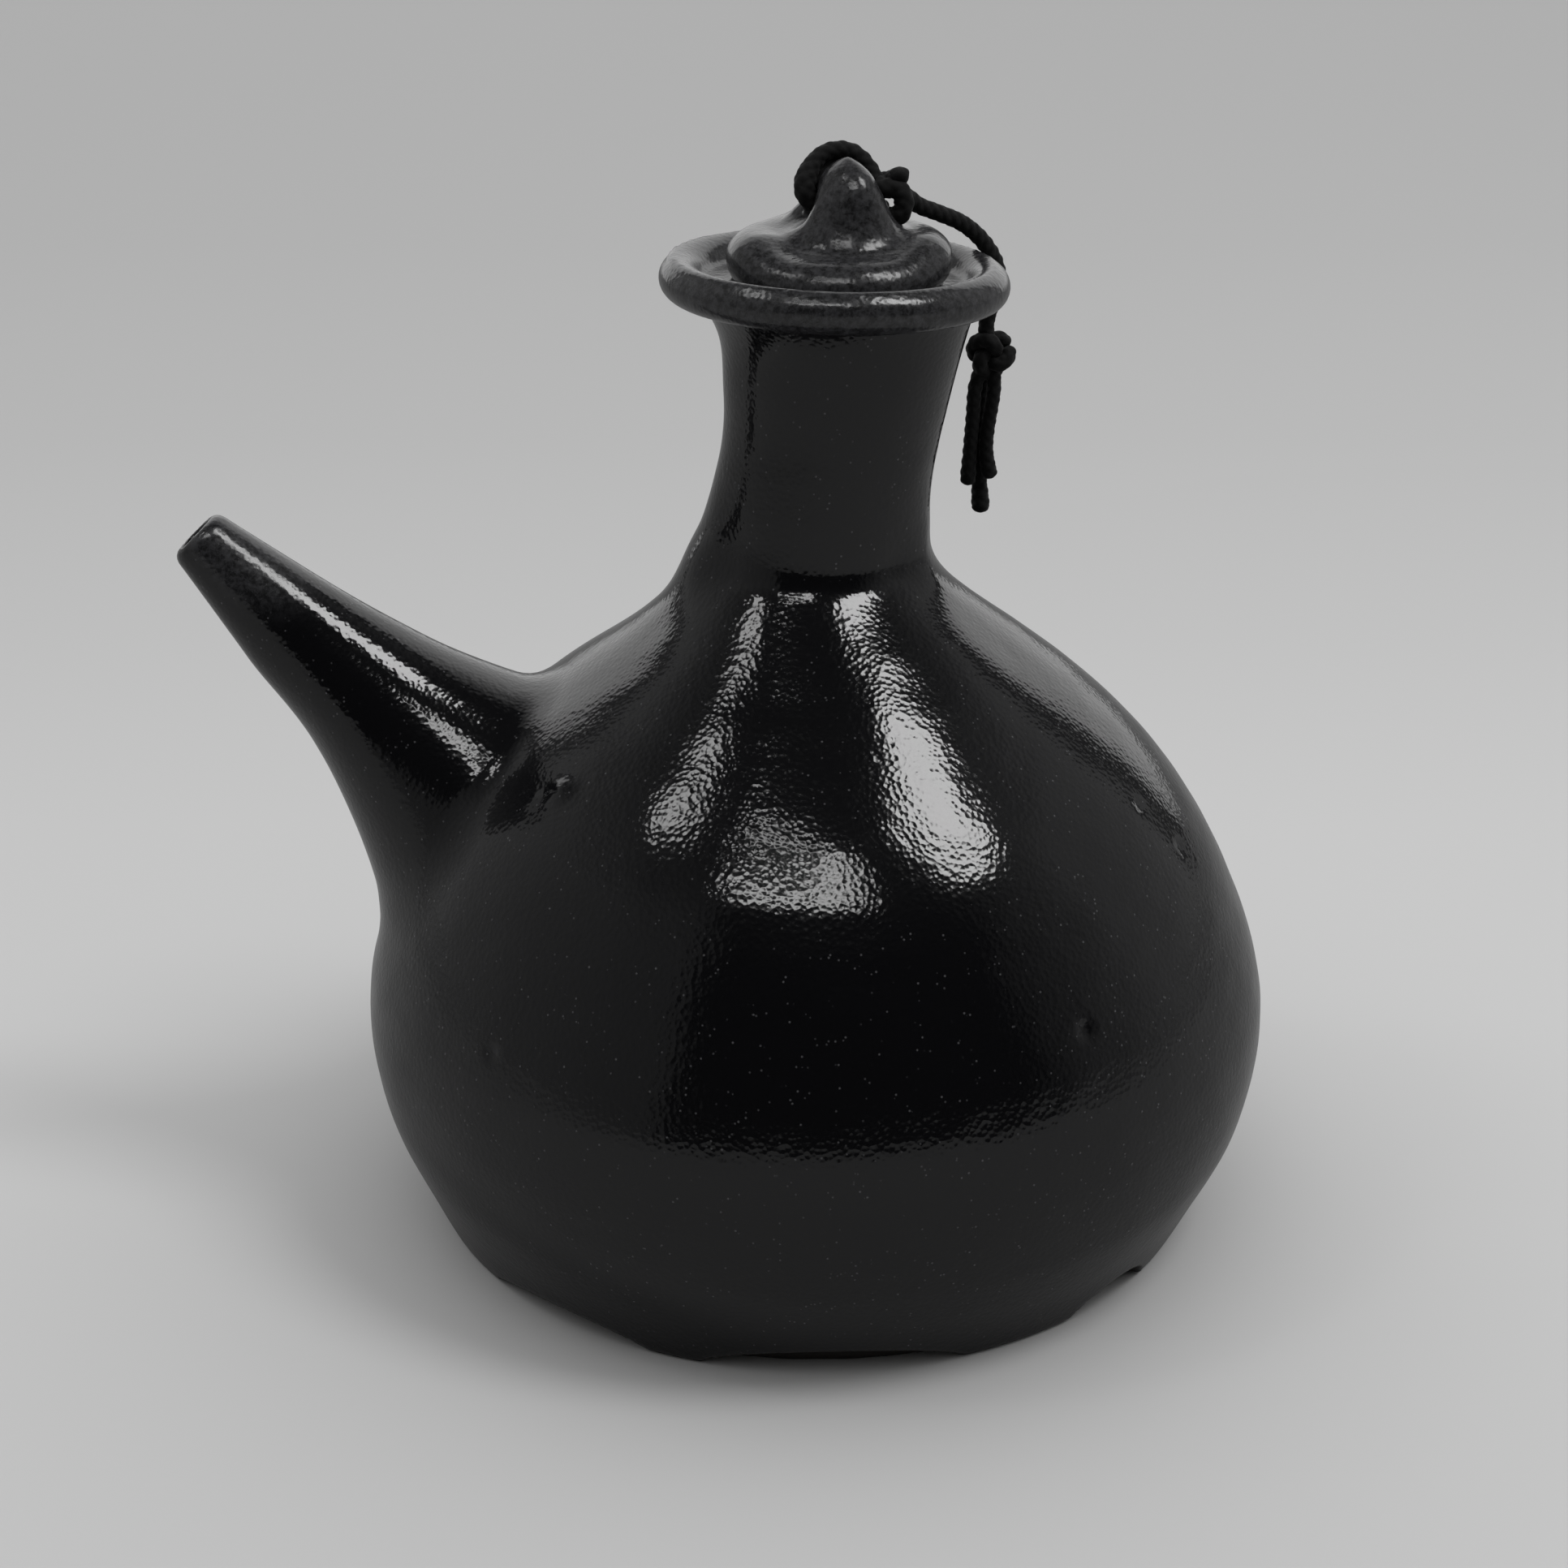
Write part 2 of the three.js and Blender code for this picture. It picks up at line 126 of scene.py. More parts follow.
class Spline:
    """A natural cubic curve through given places, kept as a fine table."""

    STEP = 0.05

    def __init__(self, *places: tuple[float, float]) -> None:
        """Solves the curve.

        Args:
            places: Pairs of position and value, in rising order of position.
        """
        at, value = np.array(places, float).T
        gap = np.diff(at)
        count = len(at)
        matrix = np.eye(count)
        right = np.zeros(count)
        for i in range(1, count - 1):
            matrix[i, i - 1 : i + 2] = gap[i - 1], 2 * (gap[i - 1] + gap[i]), gap[i]
            slopes = np.diff(value[i - 1 : i + 2]) / gap[i - 1 : i + 1]
            right[i] = 6 * (slopes[1] - slopes[0])
        bend = np.linalg.solve(matrix, right)
        self.at = np.arange(at[0], at[-1] + self.STEP, self.STEP)
        cell = np.clip(np.searchsorted(at, self.at) - 1, 0, count - 2)
        before = (at[cell + 1] - self.at) / gap[cell]
        after = 1 - before
        bowed = (before**3 - before) * bend[cell] + (after**3 - after) * bend[cell + 1]
        self.value = before * value[cell] + after * value[cell + 1] + bowed * gap[cell] ** 2 / 6
        self.slope = np.gradient(self.value, self.STEP)

    def __call__(self, at: Array) -> Array:
        """Returns the curve's value at each position."""
        return np.interp(at, self.at, self.value)

    def flatness(self, at: Array) -> Array:
        """Returns how much a sideways distance shrinks when measured square to the curve."""
        return 1 / np.sqrt(1 + np.interp(at, self.at, self.slope) ** 2)


def spaced(*stretches: tuple[float, float, float]) -> Array:
    """Makes one axis of a grid from stretches of even spacing.

    Args:
        stretches: Start, end and spacing of each stretch, in mm, one after the other.

    Returns:
        The grid's positions along the axis.
    """
    parts = []
    for start, end, step in stretches:
        count = max(2, round((end - start) / step) + 1)
        parts.append(np.linspace(start, end, count)[:-1])
    return np.concatenate([*parts, [stretches[-1][1]]])


def slope_of(field: Field, points: Array) -> Array:
    """Returns the field's gradient at each point, from small steps each way."""
    slope = np.empty_like(points)
    for i in range(3):
        step = np.zeros(3)
        step[i] = PROBE
        slope[:, i] = (field(*(points + step).T) - field(*(points - step).T)) / (2 * PROBE)
    return slope


def settle(field: Field, points: Array, rounds: int) -> Array:
    """Moves points onto the field's zero surface.

    Args:
        field: The solid's field.
        points: Points near the surface.
        rounds: How many steps to take.

    Returns:
        The moved points.
    """
    for _ in range(rounds):
        slope = slope_of(field, points)
        away = field(*points.T) / np.maximum((slope**2).sum(1), LEAST_SQUARE)
        points = points - np.clip(away, -LONGEST_MOVE, LONGEST_MOVE)[:, None] * slope
    return points


def evened(points: Array, quads: Array) -> Array:
    """Moves each point halfway to the middle of its neighbours."""
    ends = np.concatenate([quads[:, [0, 1]], quads[:, [1, 2]], quads[:, [2, 3]], quads[:, [3, 0]]])
    count = np.bincount(ends[:, 0], minlength=len(points))[:, None]
    total = np.stack([np.bincount(ends[:, 0], points[ends[:, 1], i], len(points)) for i in range(3)], 1)
    return 0.5 * points + 0.5 * total / count


def surface_net(field: Field, axes: Sequence[Array]) -> tuple[Array, Array]:
    """Wraps a solid in a net of quads that lies on its surface.

    Args:
        field: Negative inside the solid.
        axes: The grid's positions along X, Y and Z.

    Returns:
        The points and the quads.
    """
    value = field(axes[0][:, None, None], axes[1][None, :, None], axes[2][None, None, :])
    inside = value < 0
    cells = tuple(len(axis) - 1 for axis in axes)
    weights, hits, quads = [], [], []
    for along in range(3):
        low = [slice(None)] * 3
        high = [slice(None)] * 3
        low[along], high[along] = slice(None, -1), slice(1, None)
        crossing = np.argwhere(inside[tuple(low)] != inside[tuple(high)])
        after = crossing.copy()
        after[:, along] += 1
        here, there = value[tuple(crossing.T)], value[tuple(after.T)]
        place = np.stack([axes[i][crossing[:, i]] for i in range(3)], 1)
        span = axes[along][after[:, along]] - axes[along][crossing[:, along]]
        place[:, along] += span * here / (here - there)
        sides = [(along + 1) % 3, (along + 2) % 3]
        corners = []
        for back in ((0, 0), (1, 0), (1, 1), (0, 1)):
            cell = crossing.copy()
            cell[:, sides[0]] -= back[0]
            cell[:, sides[1]] -= back[1]
            corners.append(np.ravel_multi_index(cell.T, cells))
        corners = np.stack(corners, 1)
        hits.append(corners.ravel())
        weights.append(np.repeat(place, 4, 0))
        leaving = here < 0
        quads.append(np.where(leaving[:, None], corners, corners[:, ::-1]))
    hit, where = np.concatenate(hits), np.concatenate(weights)
    used, index = np.unique(hit, return_inverse=True)
    count = np.bincount(index)[:, None]
    points = np.stack([np.bincount(index, where[:, i]) for i in range(3)], 1) / count
    quads = np.searchsorted(used, np.concatenate(quads))
    for _ in range(EVENINGS):
        points = settle(field, evened(points, quads), 2)
    return settle(field, points, 2), quads


def mesh_object(name: str, points: Array, faces: Sequence[Sequence[int]]) -> bpy.types.Object:
    """Makes a smooth-shaded mesh object in the scene.

    Args:
        name: The piece's name.
        points: Its points in mm.
        faces: Point numbers of each face.

    Returns:
        The new object.
    """
    mesh = bpy.data.meshes.new(name)
    mesh.from_pydata((points * MM).tolist(), [], faces if isinstance(faces, list) else faces.tolist())
    mesh.polygons.foreach_set("use_smooth", [True] * len(mesh.polygons))
    mesh.update()
    piece = bpy.data.objects.new(name, mesh)
    bpy.context.collection.objects.link(piece)
    return piece


def paint(piece: bpy.types.Object, name: str, values: Array) -> None:
    """Keeps one number per point on a piece, for its material to read."""
    attribute = piece.data.attributes.new(name, "FLOAT", "POINT")
    attribute.data.foreach_set("value", values.astype(np.float32))


# Finishes


def linear(code: str) -> tuple[float, float, float, float]:
    """Turns an sRGB hex colour to linear values.

    Args:
        code: Six hex digits after a hash.

    Returns:
        Linear red, green, blue and full alpha.
    """
    parts = []
    for i in (1, 3, 5):
        part = int(code[i : i + 2], 16) / 255
        parts.append(part / 12.92 if part <= 0.04045 else ((part + 0.055) / 1.055) ** 2.4)
    return parts[0], parts[1], parts[2], 1.0


def per_metre(size: float) -> float:
    """Returns the texture scale that gives a pattern of this size in mm."""
    return 1 / (size * MM)


def add(tree: Tree, kind: str, inputs: dict | None = None, **settings: object) -> bpy.types.Node:
    """Adds a node with its settings, values and links.

    Args:
        tree: The material's node tree.
        kind: The node's type, without its ShaderNode prefix.
        inputs: A value, or another node's output, for each input by name or number.
        settings: The node's own properties.

    Returns:
        The new node.
    """
    node = tree.nodes.new("ShaderNode" + kind)
    for name, value in settings.items():
        setattr(node, name, value)
    for name, value in (inputs or {}).items():
        if isinstance(value, Socket):
            tree.links.new(value, node.inputs[name])
        else:
            node.inputs[name].default_value = value
    return node


def new_material(name: str) -> tuple[bpy.types.Material, Tree, bpy.types.Node]:
    """Makes an empty material and its output node.

    Args:
        name: The material's name.

    Returns:
        The material, its node tree and the output node.
    """
    material = bpy.data.materials.new(name)
    material.use_nodes = True
    material.node_tree.nodes.clear()
    return material, material.node_tree, add(material.node_tree, "OutputMaterial")


@dataclass(frozen=True)
class IronGlaze:
    """Iron-black stoneware glaze, dipped and fired.

    Where it lies thick it is a near-black glass: sharp lights broken up by an orange-peel skin, with a
    few pale flecks. Where it ran thin over an edge it dries to a lighter, mottled satin that blurs them;
    that lighter grey is partly painted sheen, for the overhead light which the upward faces mirror.
    Under the foot and on the plug the clay is bare, dull and brownish black; under the foot its dark tone
    is partly painted shade, in the arches.
    """

    name: str
    ior: float = 1.6
    thick: str = "#08080a"
    fleck: str = "#4c4c4e"
    # The thin glaze's two greys are partly painted sheen: drawn lighter where the upward faces mirror the
    # overhead light.
    thin_dark_and_sheen: str = "#171718"
    thin_light_and_sheen: str = "#373739"
    # The bare clay's colour is partly painted shade: drawn darker than the clay, for the shadow in the arches
    # under the foot.
    clay: str = "#2a2724"
    gloss: float = 0.1
    satin: float = 0.2
    # Pattern sizes in mm. The skin's dimples are about 0.5 mm; the grain is drawn coarser, so that it shows.
    grain: float = 0.75
    peel: float = 1.4
    ripple: float = 3.5
    mottle: float = 1.0
    fleck_size: float = 1.0
    fleck_patch: float = 2.1
    # Relief depths in mm
    grain_depth: float = 0.034
    peel_depth: float = 0.025
    ripple_depth: float = 0.03

    def build(self) -> bpy.types.Material:
        """Returns the material; it reads the numbers thin and clay from the piece."""
        material, tree, out = new_material(self.name)
        place = add(tree, "TexCoord").outputs["Object"]
        thin = add(tree, "Attribute", attribute_name="thin").outputs["Fac"]
        bare = add(tree, "Attribute", attribute_name="clay").outputs["Fac"]
        cloud = {"Vector": place, "Scale": per_metre(self.mottle), "Detail": 6.0, "Roughness": 0.75}
        mottle = add(tree, "TexNoise", cloud).outputs["Fac"]
        bounds = {"Value": thin, "From Min": 0.25, "From Max": 0.75}
        edge = add(tree, "MapRange", bounds, interpolation_type="SMOOTHSTEP").outputs[0]
        inputs = {
            "Base Color": self.colour(tree, place, mottle, edge, bare),
            "Roughness": self.roughness(tree, mottle, edge, bare),
            "Normal": self.relief(tree, place),
            "IOR": self.ior,
        }
        shader = add(tree, "BsdfPrincipled", inputs)
        tree.links.new(shader.outputs[0], out.inputs["Surface"])
        return material

    def colour(self, tree: Tree, place: Socket, mottle: Socket, edge: Socket, bare: Socket) -> Socket:
        """Colours the glaze: flecked black, mottled grey where thin, which is partly painted sheen, and the
        bare clay, which is partly painted shade.

        Args:
            tree: The node tree.
            place: The place on the piece.
            mottle: The mottling's noise.
            edge: 0 where the glaze is thick, 1 where it is thin.
            bare: 1 where the clay is bare; under the foot its darker colour is partly painted shade.

        Returns:
            The colour's socket.
        """
        cells = {"Vector": place, "Scale": per_metre(self.fleck_size), "Randomness": 1.0}
        spots = add(tree, "TexVoronoi", cells).outputs["Distance"]
        rare = add(tree, "TexNoise", {"Vector": place, "Scale": per_metre(self.fleck_patch), "Detail": 0.0})
        dot = add(tree, "MapRange", {"Value": spots, "From Min": 0.2, "From Max": 0.08})
        gate = add(tree, "MapRange", {"Value": rare.outputs["Fac"], "From Min": 0.5, "From Max": 0.64})
        share = add(tree, "Math", {0: dot.outputs[0], 1: gate.outputs[0]}, operation="MULTIPLY").outputs[0]
        shade = add(tree, "MapRange", {"Value": mottle, "From Min": 0.4, "From Max": 0.62}).outputs[0]
        black = {"Factor": share, "A": linear(self.thick), "B": linear(self.fleck)}
        glassy = add(tree, "Mix", black, data_type="RGBA").outputs["Result"]
        # Painted sheen, in part: the thin glaze's lighter mottled grey.
        grey = {"Factor": shade, "A": linear(self.thin_dark_and_sheen), "B": linear(self.thin_light_and_sheen)}
        dry_and_sheen = add(tree, "Mix", grey, data_type="RGBA").outputs["Result"]
        glazed = add(tree, "Mix", {"Factor": edge, "A": glassy, "B": dry_and_sheen}, data_type="RGBA")
        # Painted shade, in part: the darkened bare clay under the foot.
        clay = {"Factor": bare, "A": glazed.outputs["Result"], "B": linear(self.clay)}
        return add(tree, "Mix", clay, data_type="RGBA").outputs["Result"]

    def roughness(self, tree: Tree, mottle: Socket, edge: Socket, bare: Socket) -> Socket:
        """Varies the gloss: glassy where thick, satin where thin, matt on the bare clay.

        Args:
            tree: The node tree.
            mottle: The mottling's noise.
            edge: 0 where the glaze is thick, 1 where it is thin.
            bare: 1 where the clay is bare.

        Returns:
            The roughness's socket.
        """
        sheen = add(tree, "MapRange", {"Value": edge, "To Min": self.gloss, "To Max": self.satin})
        rough = add(tree, "Math", {0: sheen.outputs[0], 1: bare}, operation="ADD", use_clamp=True)
        spread = {"Value": mottle, "From Min": 0.3, "From Max": 0.7, "To Min": 0.85, "To Max": 1.2}
        varied = add(tree, "MapRange", spread)
        return add(tree, "Math", {0: rough.outputs[0], 1: varied.outputs[0]}, operation="MULTIPLY").outputs[0]

    def relief(self, tree: Tree, place: Socket) -> Socket:
        """Dimples the skin: fine grain, orange peel and slow ripples, one on the other.

        Args:
            tree: The node tree.
            place: The place on the piece.

        Returns:
            The bent normal's socket.
        """
        cells = {"Vector": place, "Scale": per_metre(self.grain), "Smoothness": 0.4, "Randomness": 1.0}
        fine = add(tree, "TexVoronoi", cells, feature="SMOOTH_F1").outputs["Distance"]
        skin = add(tree, "TexNoise", {"Vector": place, "Scale": per_metre(self.peel), "Detail": 1.5})
        swell = add(tree, "TexNoise", {"Vector": place, "Scale": per_metre(self.ripple), "Detail": 0.5})
        inputs = {"Height": fine, "Distance": self.grain_depth * MM, "Strength": 1.0}
        for noise, depth in ((skin, self.peel_depth), (swell, self.ripple_depth)):
            below = add(tree, "Bump", inputs).outputs[0]
            inputs = {"Height": noise.outputs["Fac"], "Distance": depth * MM, "Normal": below}
        return add(tree, "Bump", inputs).outputs[0]


@dataclass(frozen=True)
class BraidedCotton:
    """Black cotton cord, plaited and left unwaxed: matt, with a soft fuzz that catches light."""

    name: str = "cotton_cord_black_braided"
    dark: str = "#040404"
    light: str = "#0f0f10"
    rough: float = 0.8
    # Size and depth of the fibres in mm. They are drawn coarser than real cotton's, so that they show.
    fibre: float = 0.25
    fuzz: float = 0.06

    def build(self) -> bpy.types.Material:
        """Returns the material."""
        material, tree, out = new_material(self.name)
        place = add(tree, "TexCoord").outputs["Object"]
        cloud = {"Vector": place, "Scale": per_metre(self.fibre), "Detail": 4.0, "Roughness": 0.65}
        fibres = add(tree, "TexNoise", cloud).outputs["Fac"]
        tone = add(tree, "MapRange", {"Value": fibres, "From Min": 0.38, "From Max": 0.68}).outputs[0]
        black = {"Factor": tone, "A": linear(self.dark), "B": linear(self.light)}
        fuzz = {"Height": fibres, "Distance": self.fuzz * MM, "Strength": 1.0}
        inputs = {
            "Base Color": add(tree, "Mix", black, data_type="RGBA").outputs["Result"],
            "Roughness": self.rough,
            "Normal": add(tree, "Bump", fuzz).outputs[0],
            "Specular IOR Level": 0.3,
            "Sheen Weight": 0.05,
            "Sheen Roughness": 0.5,
        }
        shader = add(tree, "BsdfPrincipled", inputs)
        tree.links.new(shader.outputs[0], out.inputs["Surface"])
        return material


# The bottle


@dataclass
class Bottle:
    """The thrown body, its neck and its spout, glazed as one skin. Sizes in mm."""

    mouth_offset: float = 2.6
    lip_radius: float = 22.2
    lip_roll: float = 2.9
    lip_height: float = 143.9
    lip_centre: float = 2.3
    lip_tilt: float = 1.5
    dish_bottom: float = 138.2
    bore_radius: float = 12.0
    floor_thickness: float = 6.0
    # The radii between which the arches fade out under the foot, and the spout's tip, slope and reach
    foot_fade: tuple[float, float] = (57.0, 59.5)
    spout_tip: tuple[float, float] = (-92.4, 106.2)
    spout_slope: float = 46.5
    spout_reach: float = 60.0
    pour_reach: float = 64.0
    # The spout is slimmer on its underside than above, by up to this much
    spout_slimming: float = 1.4
    # Fillets and roundings
    dish_edge: float = 1.0
    lip_fillet: float = 1.4
    tip_edge: float = 1.8
    spout_fillet: float = 3.6
    foot_edge: float = 1.0
    floor_fillet: float = 5.0
    inside_edge: float = 0.9
    spacing: float = 0.95
    quick_spacing: float = 1.6

    # Length and depth of the wall's small dents
    DENTS = ((17, 0.03), (13, 0.02), (10, 0.012), (8, 0.008), (6.5, 0.006), (5.2, 0.005), (4.4, 0.004))
    # Single pits, positive, and lumps, negative, in the wall: place, radius and depth
    MARKS = (
        ((-65.3, -1.2, 50.0), 1.5, 0.8),
        ((-36.8, -29.2, 77.0), 1.9, -0.7),
        ((53.5, -20.9, 64.8), 1.1, 0.5),
        ((47.0, -21.9, 72.0), 1.0, 0.4),
        ((36.5, -53.4, 51.6), 1.1, 0.5),
        ((-45.9, -48.9, 45.4), 1.0, 0.4),
        ((-41.1, -27.1, 74.8), 1.2, -0.3),
    )
    # Low arches under the foot: middle and half width in degrees from the front, and height in mm
    ARCHES = (
        (2, 18, 4.8),
        (46, 8, 5.0),
        (74, 10, 3.4),
        (118, 14, 2.8),
        (163, 12, 2.4),
        (207, 15, 2.8),
        (252, 11, 2.2),
        (283, 8, 2.0),
        (322, 14, 3.4),
    )

    def __post_init__(self) -> None:
        """Draws the curves that the bottle is turned from: its radius and its middle at each height."""
        self.waves = self.draw_waves()
        body = (
            (-2, 59.3), (2, 61.3), (8, 64.0), (16, 67.4), (26, 69.6), (38, 69.3), (50, 65.4), (62, 59.3),
            (74, 50.0),
        )  # fmt: skip
        mouth = ((122, 15.9), (130, 16.8), (137, 18.1), (141, 19.8), (145, 22.0), (152, 25.0))
        self.outer = Spline(
            *body, (84, 38.5), (92, 27.7), (98, 21.4), (103, 18.5), (108, 17.0), (114, 16.1), *mouth
        )  # fmt: skip
        # In front the shoulder runs on as a straight cone and turns into the neck more tightly. That
        # shapes the lights on it, which end in a high arc there.
        self.outer_front = Spline(
            *body, (84, 38.6), (92, 28.9), (97, 22.9), (100, 19.4), (102, 17.4), (104, 16.3), (107, 15.9),
            (114, 15.9), *mouth,
        )  # fmt: skip
        self.middle = Spline(
            (-2, -0.3), (8, -0.1), (26, 0.1), (50, 0.0), (74, 0.0), (84, 0.4), (92, 0.6), (98, -0.5),
            (103, -1.1), (108, -0.3), (114, 0.6), (122, 2.0), (130, 3.0), (137, 3.5), (141, 3.0), (144, 2.4),
            (152, 2.3),
        )  # fmt: skip
        self.inner = Spline(
            (0, 50), (6, 55), (12, 59), (20, 62.6), (31, 65.0), (45, 62.5), (60, 56), (72, 47.4), (82, 36),
            (90, 24), (96, 17.3), (104, 13.3), (112, 12), (130, 12), (152, 12),
        )  # fmt: skip
        # The spout's radius and its bore's, by the distance from the tip
        self.tube = Spline(
            (-6, 4.0), (0, 4.6), (4.5, 5.4), (11.5, 6.8), (18.8, 8.3), (26.5, 10.1), (32, 11.6), (38, 13.4),
            (43.5, 15.5), (50, 18.4), (56, 21.6), (66, 28),
        )  # fmt: skip
        self.hole = Spline(
            (-8, 2.6), (0, 2.7), (4.5, 3.3), (11.5, 4.3), (18.8, 5.5), (26.5, 7.1), (33, 8.6), (40, 10.2),
            (46, 9.6), (52, 8.2), (72, 8),
        )  # fmt: skip

    def along_spout(self, x: Array, y: Array, z: Array) -> tuple[Array, Array]:
        """Measures points along and away from the spout's axis.

        Args:
            x: Their places along X.
            y: Their places along Y.
            z: Their heights.

        Returns:
            The distance along the axis from the tip, and the distance from the axis.
        """
        slope = math.radians(self.spout_slope)
        right, up = x - self.spout_tip[0], z - self.spout_tip[1]
        along = right * math.cos(slope) - up * math.sin(slope)
        across = right * math.sin(slope) + up * math.cos(slope)
        return along, np.sqrt(across**2 + y**2)

    def over_spout(self, z: Array, along: Array, radius: Array) -> Array:
        """Returns how far over the spout's axis points are, as a share of their distance from it."""
        axis = self.spout_tip[1] - along * math.sin(math.radians(self.spout_slope))
        return (z - axis) / np.maximum(radius, 1)

    def arch_height(self, x: Array, y: Array) -> Array:
        """Returns how high the foot's underside is lifted over each place of the floor."""
        turn = np.degrees(np.arctan2(x, -y))
        lift = np.zeros_like(turn)
        for middle, half, height in self.ARCHES:
            share = np.abs((turn - middle + 180) % 360 - 180) / half
            lift = np.maximum(lift, height * np.maximum(1 - share**2, 0) ** 0.75)
        return lift * smooth_step(np.hypot(x, y), *self.foot_fade)

    def wobble(self, x: Array, y: Array, z: Array) -> Array:
        """Returns the small unevenness that a thrown wall has, in mm."""
        turn = np.arctan2(x, -y)
        wall = smooth_step(z, 4, 20) * (1 - smooth_step(z, 118, 134))
        slow = 0.16 * np.sin(3 * turn + 0.045 * z + 0.6) + 0.12 * np.sin(5 * turn - 0.08 * z + 2.1)
        rings = 0.015 * np.sin(0.62 * z + turn) + 0.012 * np.sin(1.05 * z - turn)
        dents = np.zeros(np.broadcast(x, y, z).shape)
        for wave, phase, depth in self.waves:
            dents = dents + depth * np.sin(wave[0] * x + wave[1] * y + wave[2] * z + phase)
        for at, radius, depth in self.MARKS:
            square = (x - at[0]) ** 2 + (y - at[1]) ** 2 + (z - at[2]) ** 2
            dents = dents + depth * np.exp(-square / radius**2)
        return wall * (slow + rings + dents)

    def draw_waves(self) -> list[tuple[Array, float, float]]:
        """Returns the small dents' waves: direction and pace, phase, and depth in mm."""
        random = np.random.default_rng(SEED)
        waves = []
        for length, depth in self.DENTS:
            way = random.normal(size=3)
            waves.append((way / np.linalg.norm(way) * math.tau / length, random.uniform(0, math.tau), depth))
        return waves

    def field(self, x: Array, y: Array, z: Array) -> Array:
        """Returns the bottle's field: negative in the clay, in mm near the surface."""
        side = x - self.middle(z)
        tilt = math.tan(math.radians(self.lip_tilt)) * smooth_step(z, 122, 138)
        level = z + tilt * (x - self.lip_centre)
        away = np.sqrt(side**2 + y**2)
        front = smooth_step(-y / np.maximum(away, 1), 0.25, 0.75)
        turned = self.outer(z) + front * (self.outer_front(z) - self.outer(z))
        wall = (away - turned) * self.outer.flatness(z) + self.wobble(x, y, z)
        mouth = np.sqrt((x - self.lip_centre) ** 2 + y**2)
        rise = (self.lip_height - self.dish_bottom) / (self.lip_radius - self.lip_roll - self.bore_radius)
        dish = self.dish_bottom + rise * np.maximum(mouth - self.bore_radius, 0)
        wall = blend_max(wall, np.minimum(level - dish, level - self.lip_height), self.dish_edge)
        lip = np.sqrt((mouth - self.lip_radius) ** 2 + (level - self.lip_height) ** 2) - self.lip_roll
        solid = blend_min(wall, lip, self.lip_fillet)
        along, radius = self.along_spout(x, y, z)
        below = -self.over_spout(z, along, radius)
        slim = self.spout_slimming * smooth_step(along, 18, 34) * smooth_step(below, 0, 0.65)
        spout = (radius - self.tube(along) + slim) * self.tube.flatness(along)
        spout = blend_max(blend_max(spout, -along, self.tip_edge), along - self.spout_reach, 2.0)
        solid = blend_min(solid, spout, self.spout_fillet)
        solid = blend_max(solid, self.arch_height(x, y) - z, self.foot_edge)
        lean = x - self.mouth_offset * smooth_step(z, 93, 124)
        hollow = (np.sqrt(lean**2 + y**2) - self.inner(z)) * self.inner.flatness(z)
        hollow = blend_max(hollow, self.floor_thickness - z, self.floor_fillet)
        pour = (radius - self.hole(along)) * self.hole.flatness(along)
        pour = np.maximum(pour, along - self.pour_reach)
        return blend_max(solid, -blend_min(hollow, pour, 1.0), self.inside_edge)

    def build(self, glaze: bpy.types.Material) -> bpy.types.Object:
        """Builds the glazed skin.

        Args:
            glaze: The material of the glaze.

        Returns:
            The bottle's piece.
        """
        coarse = self.spacing
        axes = (
            spaced((-98, -78, 0.5 * coarse), (-78, 73, coarse)),
            spaced((-73, -8, coarse), (-8, 8, 0.6 * coarse), (8, 73, coarse)),
            spaced((-1.5, 8, 0.7 * coarse), (8, 90, coarse), (90, 149, 0.65 * coarse)),
        )
        points, quads = surface_net(self.field, axes)
        piece = mesh_object("glazed_bottle", points, quads)
        # The lip and the spout's upper side take the thin glaze; its lighter grey there is partly painted
        # sheen.
        paint(piece, "thin", self.thinness_and_sheen(points))
        x, y, z = points.T
        # The foot's underside and its arches are bare clay, drawn darker as painted shade in the arches.
        paint(piece, "clay", 1 - smooth_step(z - self.arch_height(x, y), 0.1, 0.7))
        piece.data.materials.append(glaze)
        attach(piece, Body.BOTTLE.value)
        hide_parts("bottle_base", "bottle_body", "bottle_neck", "pouring_spout", "spout_collar")
        return piece

    def thinness_and_sheen(self, points: Array) -> Array:
        """Returns how thin the glaze ran at each point, from 0, thick, to 1, thin. The thin zone is the lip
        and the spout's upper side near its tip, where its lighter grey is partly painted sheen for the light
        from above.
        """
        x, y, z = points.T
        lip = smooth_step(z, 139.6, 141.4)
        along, radius = self.along_spout(x, y, z)
        near = 1 - smooth_step(along, 4, 30)
        tip = np.where(along < 40, near * smooth_step(self.over_spout(z, along, radius), -0.9, 0.6), 0)
        return np.maximum(lip, 0.9 * np.clip(tip, 0, 1))


# The stopper


